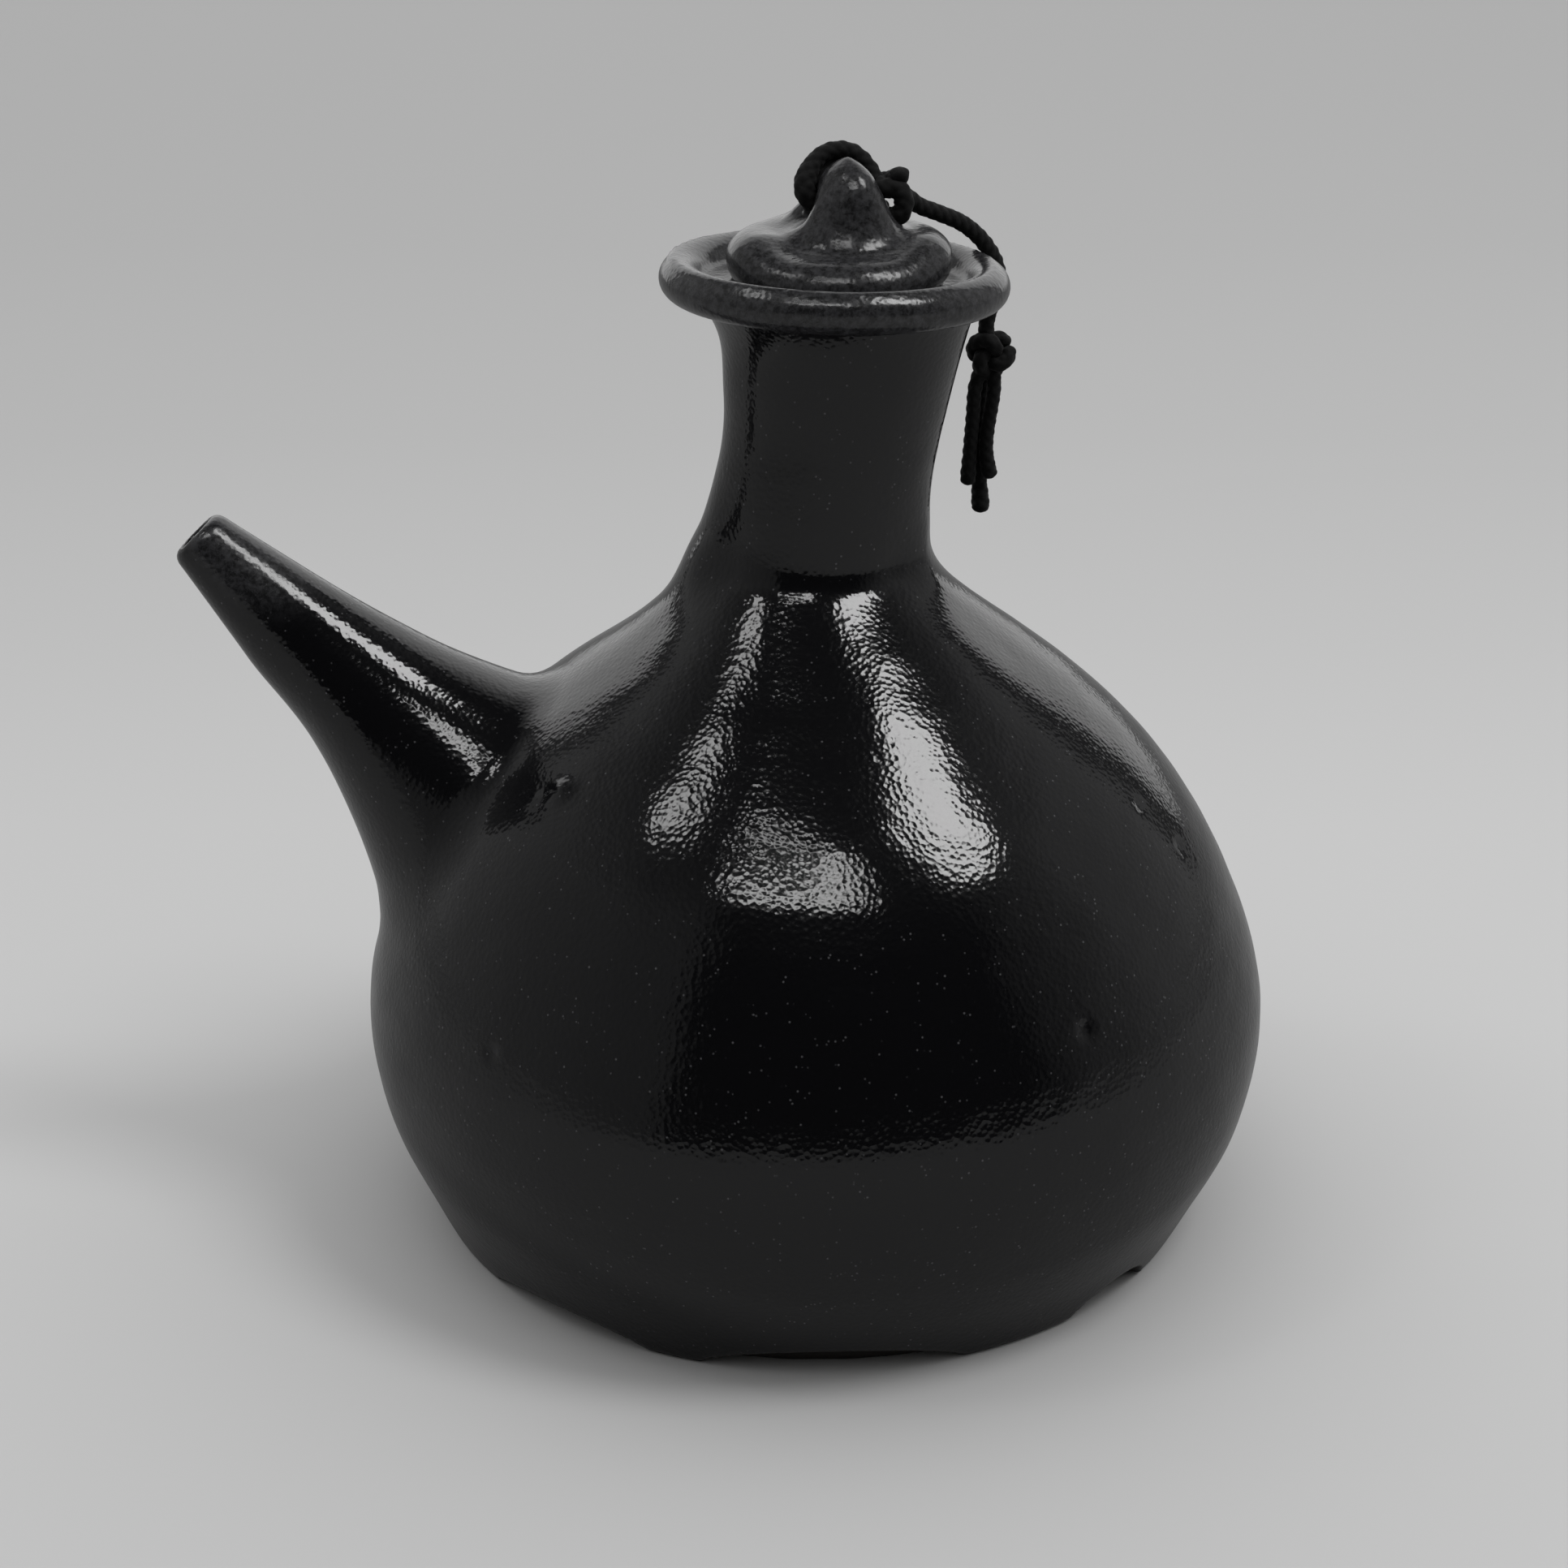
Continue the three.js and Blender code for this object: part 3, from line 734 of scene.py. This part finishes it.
@dataclass
class Stopper:
    """The cap with its pinched lug, and the plug under it. Sizes in mm."""

    middle: float = 3.0
    # The cap's rolled rim: where its roll is centred, how far it drops in front, and how much it is flattened
    rim_radius: float = 12.6
    rim_height: float = 147.2
    rim_roll: float = 3.55
    rim_drop: float = 2.4
    flattening: float = 0.86
    under: float = 140.4
    # The lug, pinched from both sides: its middle, turn and heights, and the thumb's place and size
    lug_middle: float = 4.0
    lug_turn: float = 27.0
    lug_foot: float = 147.0
    lug_top: float = 161.8
    lug_reach: float = 14.6
    pinch_at: Point = (7.2, 4.2, 155.0)
    pinch_size: Point = (3.7, 3.0, 3.6)
    # The cord's hole through the lug
    hole_at: Point = (4.2, 3.5, 154.0)
    hole_radius: float = 1.75
    hole_turn: float = 20.0
    plug_middle: float = 2.6
    plug_radius: float = 10.8
    plug_taper: float = 0.9
    plug_top: float = 138.6
    plug_bottom: float = 118.6
    spacing: float = 0.42
    quick_factor: float = 1.8

    def __post_init__(self) -> None:
        """Draws the lug's half width by height, and the cap's top by radius, behind and in front."""
        self.half_width = Spline(
            (146, 8.9), (149, 8.5), (150.4, 8.0), (151.6, 7.3), (153.2, 6.3), (155.2, 5.2), (157.4, 4.0),
            (159.4, 2.8), (162, 1.4), (166, 0.4),
        )  # fmt: skip
        self.top = Spline(
            (0, 151.2), (5, 151.1), (8.5, 151.0), (11.6, 151.6), (14, 151.0), (17, 148.6), (20, 145)
        )  # fmt: skip
        self.top_front = Spline(
            (0, 151.6), (5, 151.6), (8.2, 151.4), (9.5, 151.0), (11, 150.2), (13, 149.2), (15, 147.9),
            (16.1, 146.7), (18, 144.2),
        )  # fmt: skip

    def cap(self, away: Array, front: Array, z: Array) -> Array:
        """Returns the cap's field.

        Args:
            away: The distance from its middle.
            front: 1 in front, 0 at the sides and behind.
            z: The height.

        Returns:
            The field.
        """
        over = (z - self.top(away) - front * (self.top_front(away) - self.top(away))) * self.flattening
        rise = self.flattening * (z - self.rim_height + self.rim_drop * front)
        edge = np.sqrt(np.maximum(away - self.rim_radius, 0) ** 2 + rise**2) - self.rim_roll
        below = self.under + 0.75 * np.maximum(away - 11, 0) - z
        return blend_max(blend_max(over, edge, 1.2), below, 1.0)

    def lug(self, x: Array, y: Array, z: Array, away: Array) -> Array:
        """Returns the field of the pinched lug, before it is pierced.

        Args:
            x: Places along X.
            y: Places along Y.
            z: Heights.
            away: The distance from the cap's middle.

        Returns:
            The field.
        """
        shift = x - self.lug_middle
        turn = math.radians(self.lug_turn)
        across = math.cos(turn) * shift + math.sin(turn) * y
        depth = -math.sin(turn) * shift + math.cos(turn) * y
        # It is deeper than wide, towards its tip and at its back
        deeper = 0.75 * smooth_step(depth, -2, 5) * (1 - smooth_step(z, 152, 158))
        stretch = 1.0 + 0.45 * smooth_step(z, 151, 160) + deeper
        ring = np.sqrt(across**2 + (depth / stretch) ** 2)
        lug = (ring - self.half_width(z)) * self.half_width.flatness(z) * 0.8
        lug = blend_max(lug, z - self.lug_top, 3.4)
        lug = blend_max(blend_max(lug, self.lug_foot - z, 1.0), away - self.lug_reach, 2.0)
        side, back, height = self.pinch_at
        width, length, rise = self.pinch_size
        for sign in (-1, 1):
            square = ((across - sign * side) / width) ** 2 + ((depth - back) / length) ** 2
            pinch = np.sqrt(square + ((z - height) / rise) ** 2)
            lug = blend_max(lug, (1 - pinch) * 2.8, 2.2)
        return lug

    def field(self, x: Array, y: Array, z: Array) -> Array:
        """Returns the stopper's field: negative in the clay, in mm near the surface."""
        away = np.sqrt((x - self.middle) ** 2 + y**2)
        front = smooth_step(-y / np.maximum(away, 1), 0.3, 0.9)
        solid = blend_min(self.cap(away, front, z), self.lug(x, y, z, away), 1.8)
        line = math.radians(self.hole_turn)
        off = -math.sin(line) * (x - self.hole_at[0]) + math.cos(line) * (y - self.hole_at[1])
        hole = np.sqrt(off**2 + (z - self.hole_at[2]) ** 2) - self.hole_radius
        solid = blend_max(solid, -hole, 0.8)
        beside = np.sqrt((x - self.plug_middle) ** 2 + y**2)
        taper = self.plug_radius - self.plug_taper * (self.plug_top - z) / (self.plug_top - self.plug_bottom)
        plug = blend_max(beside - taper, self.plug_bottom - z, 3.5)
        plug = blend_max(plug, z - 146.0, 0.5)
        return blend_min(solid, plug, 1.0)

    def build(self, glaze: bpy.types.Material) -> bpy.types.Object:
        """Builds the stopper.

        Args:
            glaze: The material of its glaze.

        Returns:
            The stopper's piece.
        """
        coarse = 1.0
        fine = self.spacing * coarse
        heights = spaced((117, 137, 0.8 * coarse), (137, 163, fine))
        axes = (spaced((-15, 21, fine)), spaced((-18, 18, fine)), heights)
        points, quads = surface_net(self.field, axes)
        piece = mesh_object("glazed_stopper", points, quads)
        # The whole stopper takes the thin glaze; its lighter grey is partly painted sheen.
        paint(piece, "thin", np.ones(len(points)))
        paint(piece, "clay", 1 - smooth_step(points[:, 2], 139.2, 140.6))
        piece.data.materials.append(glaze)
        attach(piece, Body.STOPPER.value)
        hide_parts("stopper_cap", "stopper_plug")
        return piece


# The cord


@dataclass
class Braid:
    """A braided cord: how its tube is plaited, and every stretch of it on the bottle. Sizes in mm."""

    diameter: float = 2.3
    # Points in each ring of the tube, and the rings' spacing
    sides: int = 28
    spacing: float = 0.17
    # The plait's length, its strands each way, and its grooves' depth as a share of the radius. The
    # strands stand proud of the cord's mean diameter, and the knots' turns are swollen a little more.
    plait: float = 1.7
    strands: int = 4
    relief: float = 0.22
    looseness: float = 1.1
    hitch_swell: float = 1.2
    tail_swell: float = 0.9
    knot_lean: float = 25.0

    LOOP = (
        (9.9, 4.2, 152.9), (8.8, 4.8, 153.4), (7.4, 4.6, 153.8), (5.6, 4.0, 154.0), (2.8, 3.0, 154.0),
        (0.5, 2.2, 154.0), (-1.0, 1.7, 154.6), (-1.9, 1.6, 156.0), (-1.9, 2.1, 157.6), (-1.1, 3.0, 159.3),
        (0.5, 4.0, 160.9), (2.6, 4.7, 161.5), (4.8, 5.0, 161.1), (6.4, 5.0, 159.9), (7.5, 4.8, 158.5),
    )  # fmt: skip
    LOOP_END = ((8.3, 4.3, 157.3), (9.1, 3.9, 156.4), (10.2, 3.7, 156.0))
    INNER_WRAP = (
        (7.2, 6.3, 157.6), (6.3, 6.1, 159.0), (4.7, 5.9, 160.2), (2.6, 5.5, 160.3), (0.8, 4.8, 159.3),
        (-0.3, 4.1, 157.7), (-0.6, 3.7, 156.0), (0.2, 3.6, 154.6),
    )  # fmt: skip
    HITCH = (
        (9.2, 4.0, 152.7), (10.1, 2.8, 152.3), (11.3, 2.3, 152.6), (12.0, 2.2, 153.6), (12.1, 2.2, 154.9),
        (11.6, 2.2, 156.0), (10.6, 2.2, 156.5), (9.5, 2.6, 156.4), (8.9, 3.8, 156.6), (9.4, 4.9, 156.9),
        (10.5, 4.5, 157.2), (11.2, 3.5, 157.6), (11.4, 2.8, 158.3), (11.4, 2.6, 159.4),
    )  # fmt: skip
    RUN_START = ((10.7, 3.7, 155.8), (11.9, 4.4, 155.3), (13.2, 5.4, 154.4))
    RUN = (
        (14.5, 6.4, 153.3), (15.5, 6.9, 152.8), (16.7, 7.5, 152.3), (18.2, 8.3, 151.6), (19.7, 9.1, 150.9),
        (21.2, 9.9, 150.0), (22.8, 10.8, 148.7), (24.2, 11.7, 147.2), (25.4, 12.5, 145.5),
        (26.3, 13.3, 143.7), (26.8, 14.0, 141.8), (26.8, 14.8, 139.7), (26.3, 15.6, 137.6),
        (25.7, 16.2, 135.3), (25.5, 16.7, 133.0),
    )  # fmt: skip
    RUN_END = ((25.8, 16.9, 131.4), (26.1, 16.9, 130.2))
    KNOT = (26.3, 16.9, 129.2)
    TAILS = {
        "left": ((25.2, 16.6, 127.4), (24.3, 16.3, 125.3), (23.9, 16.6, 121.0), (23.7, 16.9, 116.5),
                 (23.5, 17.2, 112.2), (23.4, 17.4, 108.6)),
        "right": ((26.6, 16.6, 127.4), (26.9, 16.4, 125.3), (26.7, 16.6, 121.6), (26.2, 16.7, 117.8),
                  (26.1, 16.8, 113.8), (26.9, 16.9, 109.8)),
        "centre": ((26.0, 18.0, 127.4), (25.6, 18.8, 125.5), (25.2, 19.1, 120.0), (25.1, 19.2, 114.6),
                   (25.3, 19.1, 109.2), (25.7, 18.8, 103.8)),
    }  # fmt: skip

    def line(self, route: Sequence[Point]) -> Array:
        """Runs a smooth line through a route, with even steps.

        Args:
            route: Points in mm.

        Returns:
            The line's points, one for each ring of the tube.
        """
        marks = np.array(route, float)
        chord = np.concatenate([[0], np.cumsum(np.linalg.norm(np.diff(marks, axis=0), axis=1))])
        curves = [Spline(*zip(chord, marks[:, i])) for i in range(3)]
        fine = np.linspace(0, chord[-1], 2000)
        path = np.stack([curve(fine) for curve in curves], 1)
        run = np.concatenate([[0], np.cumsum(np.linalg.norm(np.diff(path, axis=0), axis=1))])
        steps = np.linspace(0, run[-1], max(8, round(run[-1] / self.spacing)))
        return np.stack([np.interp(steps, run, path[:, i]) for i in range(3)], 1)

    def height(self, turn: Array, run: Array) -> Array:
        """Returns the plait's relief, 0 in the grooves to 1 on the strands.

        Args:
            turn: Places round the cord, in radians.
            run: Places along the cord, in mm.

        Returns:
            The relief at each place.
        """
        first = self.strands * turn / math.tau + run / self.plait
        second = self.strands * turn / math.tau - run / self.plait
        tops = []
        for own, other, sign in ((first, second, 1), (second, first, -1)):
            off = own - np.round(own)
            over = sign * np.cos(np.pi * (other + np.round(own)))
            tops.append(np.sqrt(np.maximum(1 - (off / 0.52) ** 2, 0)) * (0.55 + 0.45 * over))
        return np.maximum(*tops)

    def tube(self, name: str, path: Array, swell: Array | None = None) -> bpy.types.Object:
        """Plaits a tube along a path, with rounded ends.

        Args:
            name: The piece's name.
            path: The centres of its rings.
            swell: How much thicker than the cord each ring is, 1 for the cord itself.

        Returns:
            The new object.
        """
        count = len(path)
        swell = np.ones(count) if swell is None else swell
        ahead = np.gradient(path, axis=0)
        ahead /= np.linalg.norm(ahead, axis=1)[:, None]
        side = np.cross(ahead[0], (0.3, 1.0, 0.2))
        sides = []
        for i in range(count):
            side = side - ahead[i] * (side @ ahead[i])
            side = side / np.linalg.norm(side)
            sides.append(side)
        sides = np.array(sides)
        ups = np.cross(ahead, sides)
        run = np.concatenate([[0], np.cumsum(np.linalg.norm(np.diff(path, axis=0), axis=1))])
        turn = np.linspace(0, math.tau, self.sides, endpoint=False)
        relief = self.height(turn[None, :], run[:, None])
        radius = 0.5 * self.diameter * self.looseness * swell[:, None] * (1 - self.relief * (1 - relief))
        end = np.minimum(run, run[-1] - run) / (0.45 * self.diameter)
        radius = radius * np.sqrt(np.clip(1 - (1 - np.minimum(end, 1)) ** 2, 0.03, 1))[:, None]
        ring = np.cos(turn)[None, :, None] * sides[:, None] + np.sin(turn)[None, :, None] * ups[:, None]
        points = (path[:, None] + radius[:, :, None] * ring).reshape(-1, 3)
        index = np.arange(count * self.sides).reshape(count, self.sides)
        nxt = np.roll(index, -1, 1)
        quads = np.stack([index[:-1], nxt[:-1], nxt[1:], index[1:]], -1).reshape(-1, 4).tolist()
        faces = quads + [index[0][::-1].tolist(), index[-1].tolist()]
        return mesh_object(name, points, faces)

    def dress(self, piece: bpy.types.Object, finish: bpy.types.Material, *nodes: str) -> bpy.types.Object:
        """Gives a stretch of cord its material and body, and hides the CAD nodes that it stands for."""
        piece.data.materials.append(finish)
        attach(piece, Body.STOPPER.value)
        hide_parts(*nodes)
        return piece

    def knot_path(self) -> Array:
        """Returns the wraps of the ball knot below the lip."""
        turn = np.linspace(0, math.tau, 400)
        ring = 1.8 + 0.9 * np.cos(3 * turn)
        sway = 1.35 * np.sin(3 * turn)
        wraps = np.stack([ring * np.cos(2 * turn), sway, 1.05 * ring * np.sin(2 * turn)], 1)
        cosine, sine = math.cos(math.radians(self.knot_lean)), math.sin(math.radians(self.knot_lean))
        x, y, z = wraps.T
        return np.stack([x * cosine - z * sine, y, x * sine + z * cosine], 1) + self.KNOT

    def build(self, finish: bpy.types.Material) -> list[bpy.types.Object]:
        """Args:
            finish: The cord's material.

        Returns:
            The pieces.
        """
        hitch_path = self.line(self.HITCH)
        share = np.linspace(0, 1, len(hitch_path))
        hitch = self.tube("hitch", hitch_path, self.hitch_swell + 0.05 * smooth_step(share, 0.88, 0.95))
        self.dress(hitch, finish, "hitch_knot")
        wrap = self.dress(self.tube("inner_wrap", self.line(self.INNER_WRAP)), finish, "cord_loop")
        loop_path = self.line(self.LOOP + self.LOOP_END)
        share = np.linspace(0, 1, len(loop_path))
        loop = self.tube("loop", loop_path, 1 + 0.3 * np.exp(-(((share - 0.46) / 0.09) ** 2)))
        self.dress(loop, finish, "cord_loop")
        run_path = self.line(self.RUN_START + self.RUN + self.RUN_END)
        run = self.dress(self.tube("run", run_path), finish, "cord_run")
        knot = self.dress(self.tube("ball_knot", self.knot_path()), finish, "lower_knot")
        tails = []
        for name, route in self.TAILS.items():
            path = self.line(route)
            share = np.linspace(0, 1, len(path))
            flare = 1 + (0.3 if name == "centre" else 0.12) * smooth_step(share, 0.7, 0.95)
            tail = self.tube("tail_" + name, path, self.tail_swell * flare)
            tails.append(self.dress(tail, finish, "cord_tail_" + name))
        return [loop, wrap, hitch, run, knot, *tails]


# The studio


class LampShape(Enum):
    """The outline of a lamp's face."""

    RECTANGLE = "RECTANGLE"
    ELLIPSE = "ELLIPSE"


@dataclass(frozen=True)
class Lamp:
    """A soft lamp that looks at the bottle. Angles in degrees from the front and the table, sizes in mm."""

    name: str
    azimuth: float
    elevation: float
    width: float
    height: float
    radiance: float
    shape: LampShape = LampShape.RECTANGLE
    # Whether it lights matt things, or is only mirrored in the glaze
    lights_matt: bool = True
    distance: float = 1500.0
    aim: float = 75.0

    def hang(self) -> None:
        """Hangs the lamp."""
        light = bpy.data.lights.new(self.name, "AREA")
        light.shape = self.shape.value
        light.size, light.size_y = self.width * MM, self.height * MM
        area = self.width * self.height * MM * MM * (math.pi / 4 if self.shape is LampShape.ELLIPSE else 1)
        light.energy = self.radiance * math.pi * area
        turn, lift = math.radians(self.azimuth), math.radians(self.elevation)
        way = Vector((math.sin(turn) * math.cos(lift), -math.cos(turn) * math.cos(lift), math.sin(lift)))
        lamp = bpy.data.objects.new(self.name, light)
        lamp.location = Vector((0, 0, self.aim)) * MM + way * self.distance * MM
        lamp.rotation_euler = way.to_track_quat("Z", "Y").to_euler()
        lamp.visible_camera = False
        lamp.visible_diffuse = self.lights_matt
        bpy.context.scene.collection.objects.link(lamp)


@dataclass
class Studio:
    """The pale table, the soft lights and the camera of the photograph. Sizes in mm."""

    eye: Point = (-4.9, -370.51, 220.58)
    pitch: float = 67.34
    lens: float = 59.72
    sensor: float = 36.0
    nearest: float = 10.0
    table: float = 9000.0
    # Painted shade: how much darker the table is drawn where the glaze mirrors it
    mirrored: float = 0.55
    # The room's fill light comes from above and behind, so that the gap under the foot stays dark
    fill: str = "#ffffff"
    low_fill: str = "#101010"
    fill_from: Point = (0.0, 0.5, 0.85)
    # The dark ceiling that the glaze mirrors, and the wall beyond the table in views from elsewhere
    overhead: str = "#303030"
    wall: str = "#a8a8a8"

    # The front light is three strips round a dark gap, as its reflection on the shoulder shows
    LAMPS = (
        Lamp("lamp_right", 72, 60, 460, 640, 8.5, shape=LampShape.ELLIPSE),
        Lamp("lamp_front_low", -12, 57.5, 800, 115, 6.5, lights_matt=False),
        Lamp("lamp_front_high", -26, 67.5, 465, 50, 6.5, lights_matt=False),
        Lamp("lamp_front_side", 5, 62.5, 180, 150, 6.5, lights_matt=False),
        Lamp("lamp_left", -80, 58, 200, 230, 5.0),
    )
    # The room that the glaze mirrors: degrees from the front towards +X, and how bright it is
    ROOM = (
        (-180, "#f4f4f4"), (-141, "#f4f4f4"), (-137, "#505050"), (-133, "#505050"), (-130, "#929292"),
        (-40, "#666666"), (-34, "#262626"), (52, "#262626"), (60, "#4a4a4a"), (95, "#8c8c8c"),
        (130, "#929292"), (133, "#404040"), (137, "#404040"), (141, "#f4f4f4"), (180, "#f4f4f4"),
    )  # fmt: skip
    # The table's tone by how far behind the bottle it is, in mm. It is painted light and shade: graded to set
    # how brightly the lit table shows from front to back.
    TABLE = (
        (-100, "#c4c4c4"), (46, "#c6c6c6"), (134, "#c4c4c4"), (258, "#bebebe"), (448, "#b8b8b8"),
        (773, "#b6b6b6"), (1457, "#bababa"), (1700, "#bbbbbb"),
    )  # fmt: skip

    def build(self) -> None:
        """Sets up the camera, the table, the lamps and the world."""
        scene = bpy.context.scene
        camera = bpy.data.cameras.new("camera")
        camera.lens = self.lens
        camera.sensor_width = self.sensor
        camera.clip_start = self.nearest * MM
        holder = bpy.data.objects.new("camera", camera)
        holder.location = Vector(self.eye) * MM
        holder.rotation_euler = (math.radians(self.pitch), 0, 0)
        scene.collection.objects.link(holder)
        scene.camera = holder
        scene.view_settings.view_transform = "Standard"
        self.lay_table()
        for lamp in self.LAMPS:
            lamp.hang()
        self.colour_world(scene)

    def lay_table(self) -> None:
        """Lays the pale table under the bottle."""
        half = 0.5 * self.table
        corners = np.array([(-half, -half, 0), (half, -half, 0), (half, half, 0), (-half, half, 0)], float)
        table = mesh_object("table", corners, [[0, 1, 2, 3]])
        # Uncoated paper on a sweep: matt, with no shine of its own
        material, tree, out = new_material("paper_sweep_pale_matt")
        place = add(tree, "SeparateXYZ", {0: add(tree, "TexCoord").outputs["Object"]})
        # Painted light and shade: the table's tone is graded from front to back.
        near, far = self.TABLE[0][0], self.TABLE[-1][0]
        bounds = {"Value": place.outputs["Y"], "From Min": near * MM, "From Max": far * MM}
        where = add(tree, "MapRange", bounds).outputs[0]
        tone = self.graded(tree, where, [((at - near) / (far - near), code) for at, code in self.TABLE])
        # Painted shade: glossy rays see the table darker than the camera does.
        shade = {"Factor": self.mirrored, "A": tone, "B": linear("#000000")}
        dim = add(tree, "Mix", shade, data_type="RGBA").outputs["Result"]
        mirrored = add(tree, "LightPath").outputs["Is Glossy Ray"]
        seen = add(tree, "Mix", {"Factor": mirrored, "A": tone, "B": dim}, data_type="RGBA")
        shader = add(tree, "BsdfPrincipled", {"Base Color": seen.outputs["Result"], "Roughness": 0.9})
        tree.links.new(shader.outputs[0], out.inputs["Surface"])
        table.data.materials.append(material)

    def graded(self, tree: Tree, where: Socket, stops: list[tuple[float, str]]) -> Socket:
        """Grades a tone along a number.

        Args:
            tree: The node tree.
            where: The number, 0 to 1.
            stops: Positions and sRGB codes.

        Returns:
            The tone's socket.
        """
        node = add(tree, "ValToRGB", {0: where})
        marks = node.color_ramp.elements
        while len(marks) < len(stops):
            marks.new(0.5)
        for mark, (at, code) in zip(marks, stops):
            mark.position = at
            mark.color = linear(code)
        return node.outputs[0]

    def colour_world(self, scene: bpy.types.Scene) -> None:
        """Gives the room its soft fill light, and the darker front that the glaze mirrors."""
        world = bpy.data.worlds.new("room")
        scene.world = world
        world.use_nodes = True
        tree = world.node_tree
        tree.nodes.clear()
        path = add(tree, "LightPath")
        sky = add(tree, "TexCoord").outputs["Generated"]
        way = add(tree, "SeparateXYZ", {0: sky})
        front = add(tree, "Math", {0: way.outputs["Y"], 1: -1.0}, operation="MULTIPLY").outputs[0]
        turn = add(tree, "Math", {0: way.outputs["X"], 1: front}, operation="ARCTAN2").outputs[0]
        share = add(tree, "MapRange", {"Value": turn, "From Min": -math.pi, "From Max": math.pi}).outputs[0]
        room = self.graded(tree, share, [((angle + 180) / 360, code) for angle, code in self.ROOM])
        high = add(tree, "MapRange", {"Value": way.outputs["Z"], "From Min": 0.6, "From Max": 0.9}).outputs[0]
        above = add(tree, "VectorMath", {0: sky, 1: self.fill_from}, operation="DOT_PRODUCT").outputs["Value"]
        lit = add(tree, "MapRange", {"Value": above, "From Min": -0.1, "From Max": 0.6}).outputs[0]
        mirrored = {"Factor": high, "A": room, "B": linear(self.overhead)}
        fill = {"Factor": lit, "A": linear(self.low_fill), "B": linear(self.fill)}
        seen = {
            "Factor": path.outputs["Is Glossy Ray"],
            "A": add(tree, "Mix", fill, data_type="RGBA").outputs["Result"],
            "B": add(tree, "Mix", mirrored, data_type="RGBA").outputs["Result"],
        }
        whole = {
            "Factor": path.outputs["Is Camera Ray"],
            "A": add(tree, "Mix", seen, data_type="RGBA").outputs["Result"],
            "B": linear(self.wall),
        }
        tone = add(tree, "Mix", whole, data_type="RGBA").outputs["Result"]
        glow = add(tree, "Background", {"Color": tone, "Strength": 1.0})
        tree.links.new(glow.outputs[0], add(tree, "OutputWorld").inputs["Surface"])


def main() -> None:
    """Sets up the studio, then builds the cord, the bottle and the stopper in order."""
    logging.basicConfig(level=logging.INFO, format="%(name)s: %(message)s")
    Studio().build()
    LOG.info("studio set")
    glaze = IronGlaze("stoneware_iron_glaze_fired").build()
    # The stopper's glaze is drawn lighter still, partly as painted sheen for the light from above.
    thin = IronGlaze("stoneware_iron_glaze_thin_satin_and_sheen", ior=1.5, thin_dark_and_sheen="#1a1a1b", thin_light_and_sheen="#3c3c3e")
    thin_glaze = thin.build()
    pieces = Braid().build(BraidedCotton().build())
    pieces += [Bottle().build(glaze), Stopper().build(thin_glaze)]
    for piece in pieces:
        LOG.info("%s: %d points", piece.name, len(piece.data.vertices))


if __name__ == "__main__":
    main()
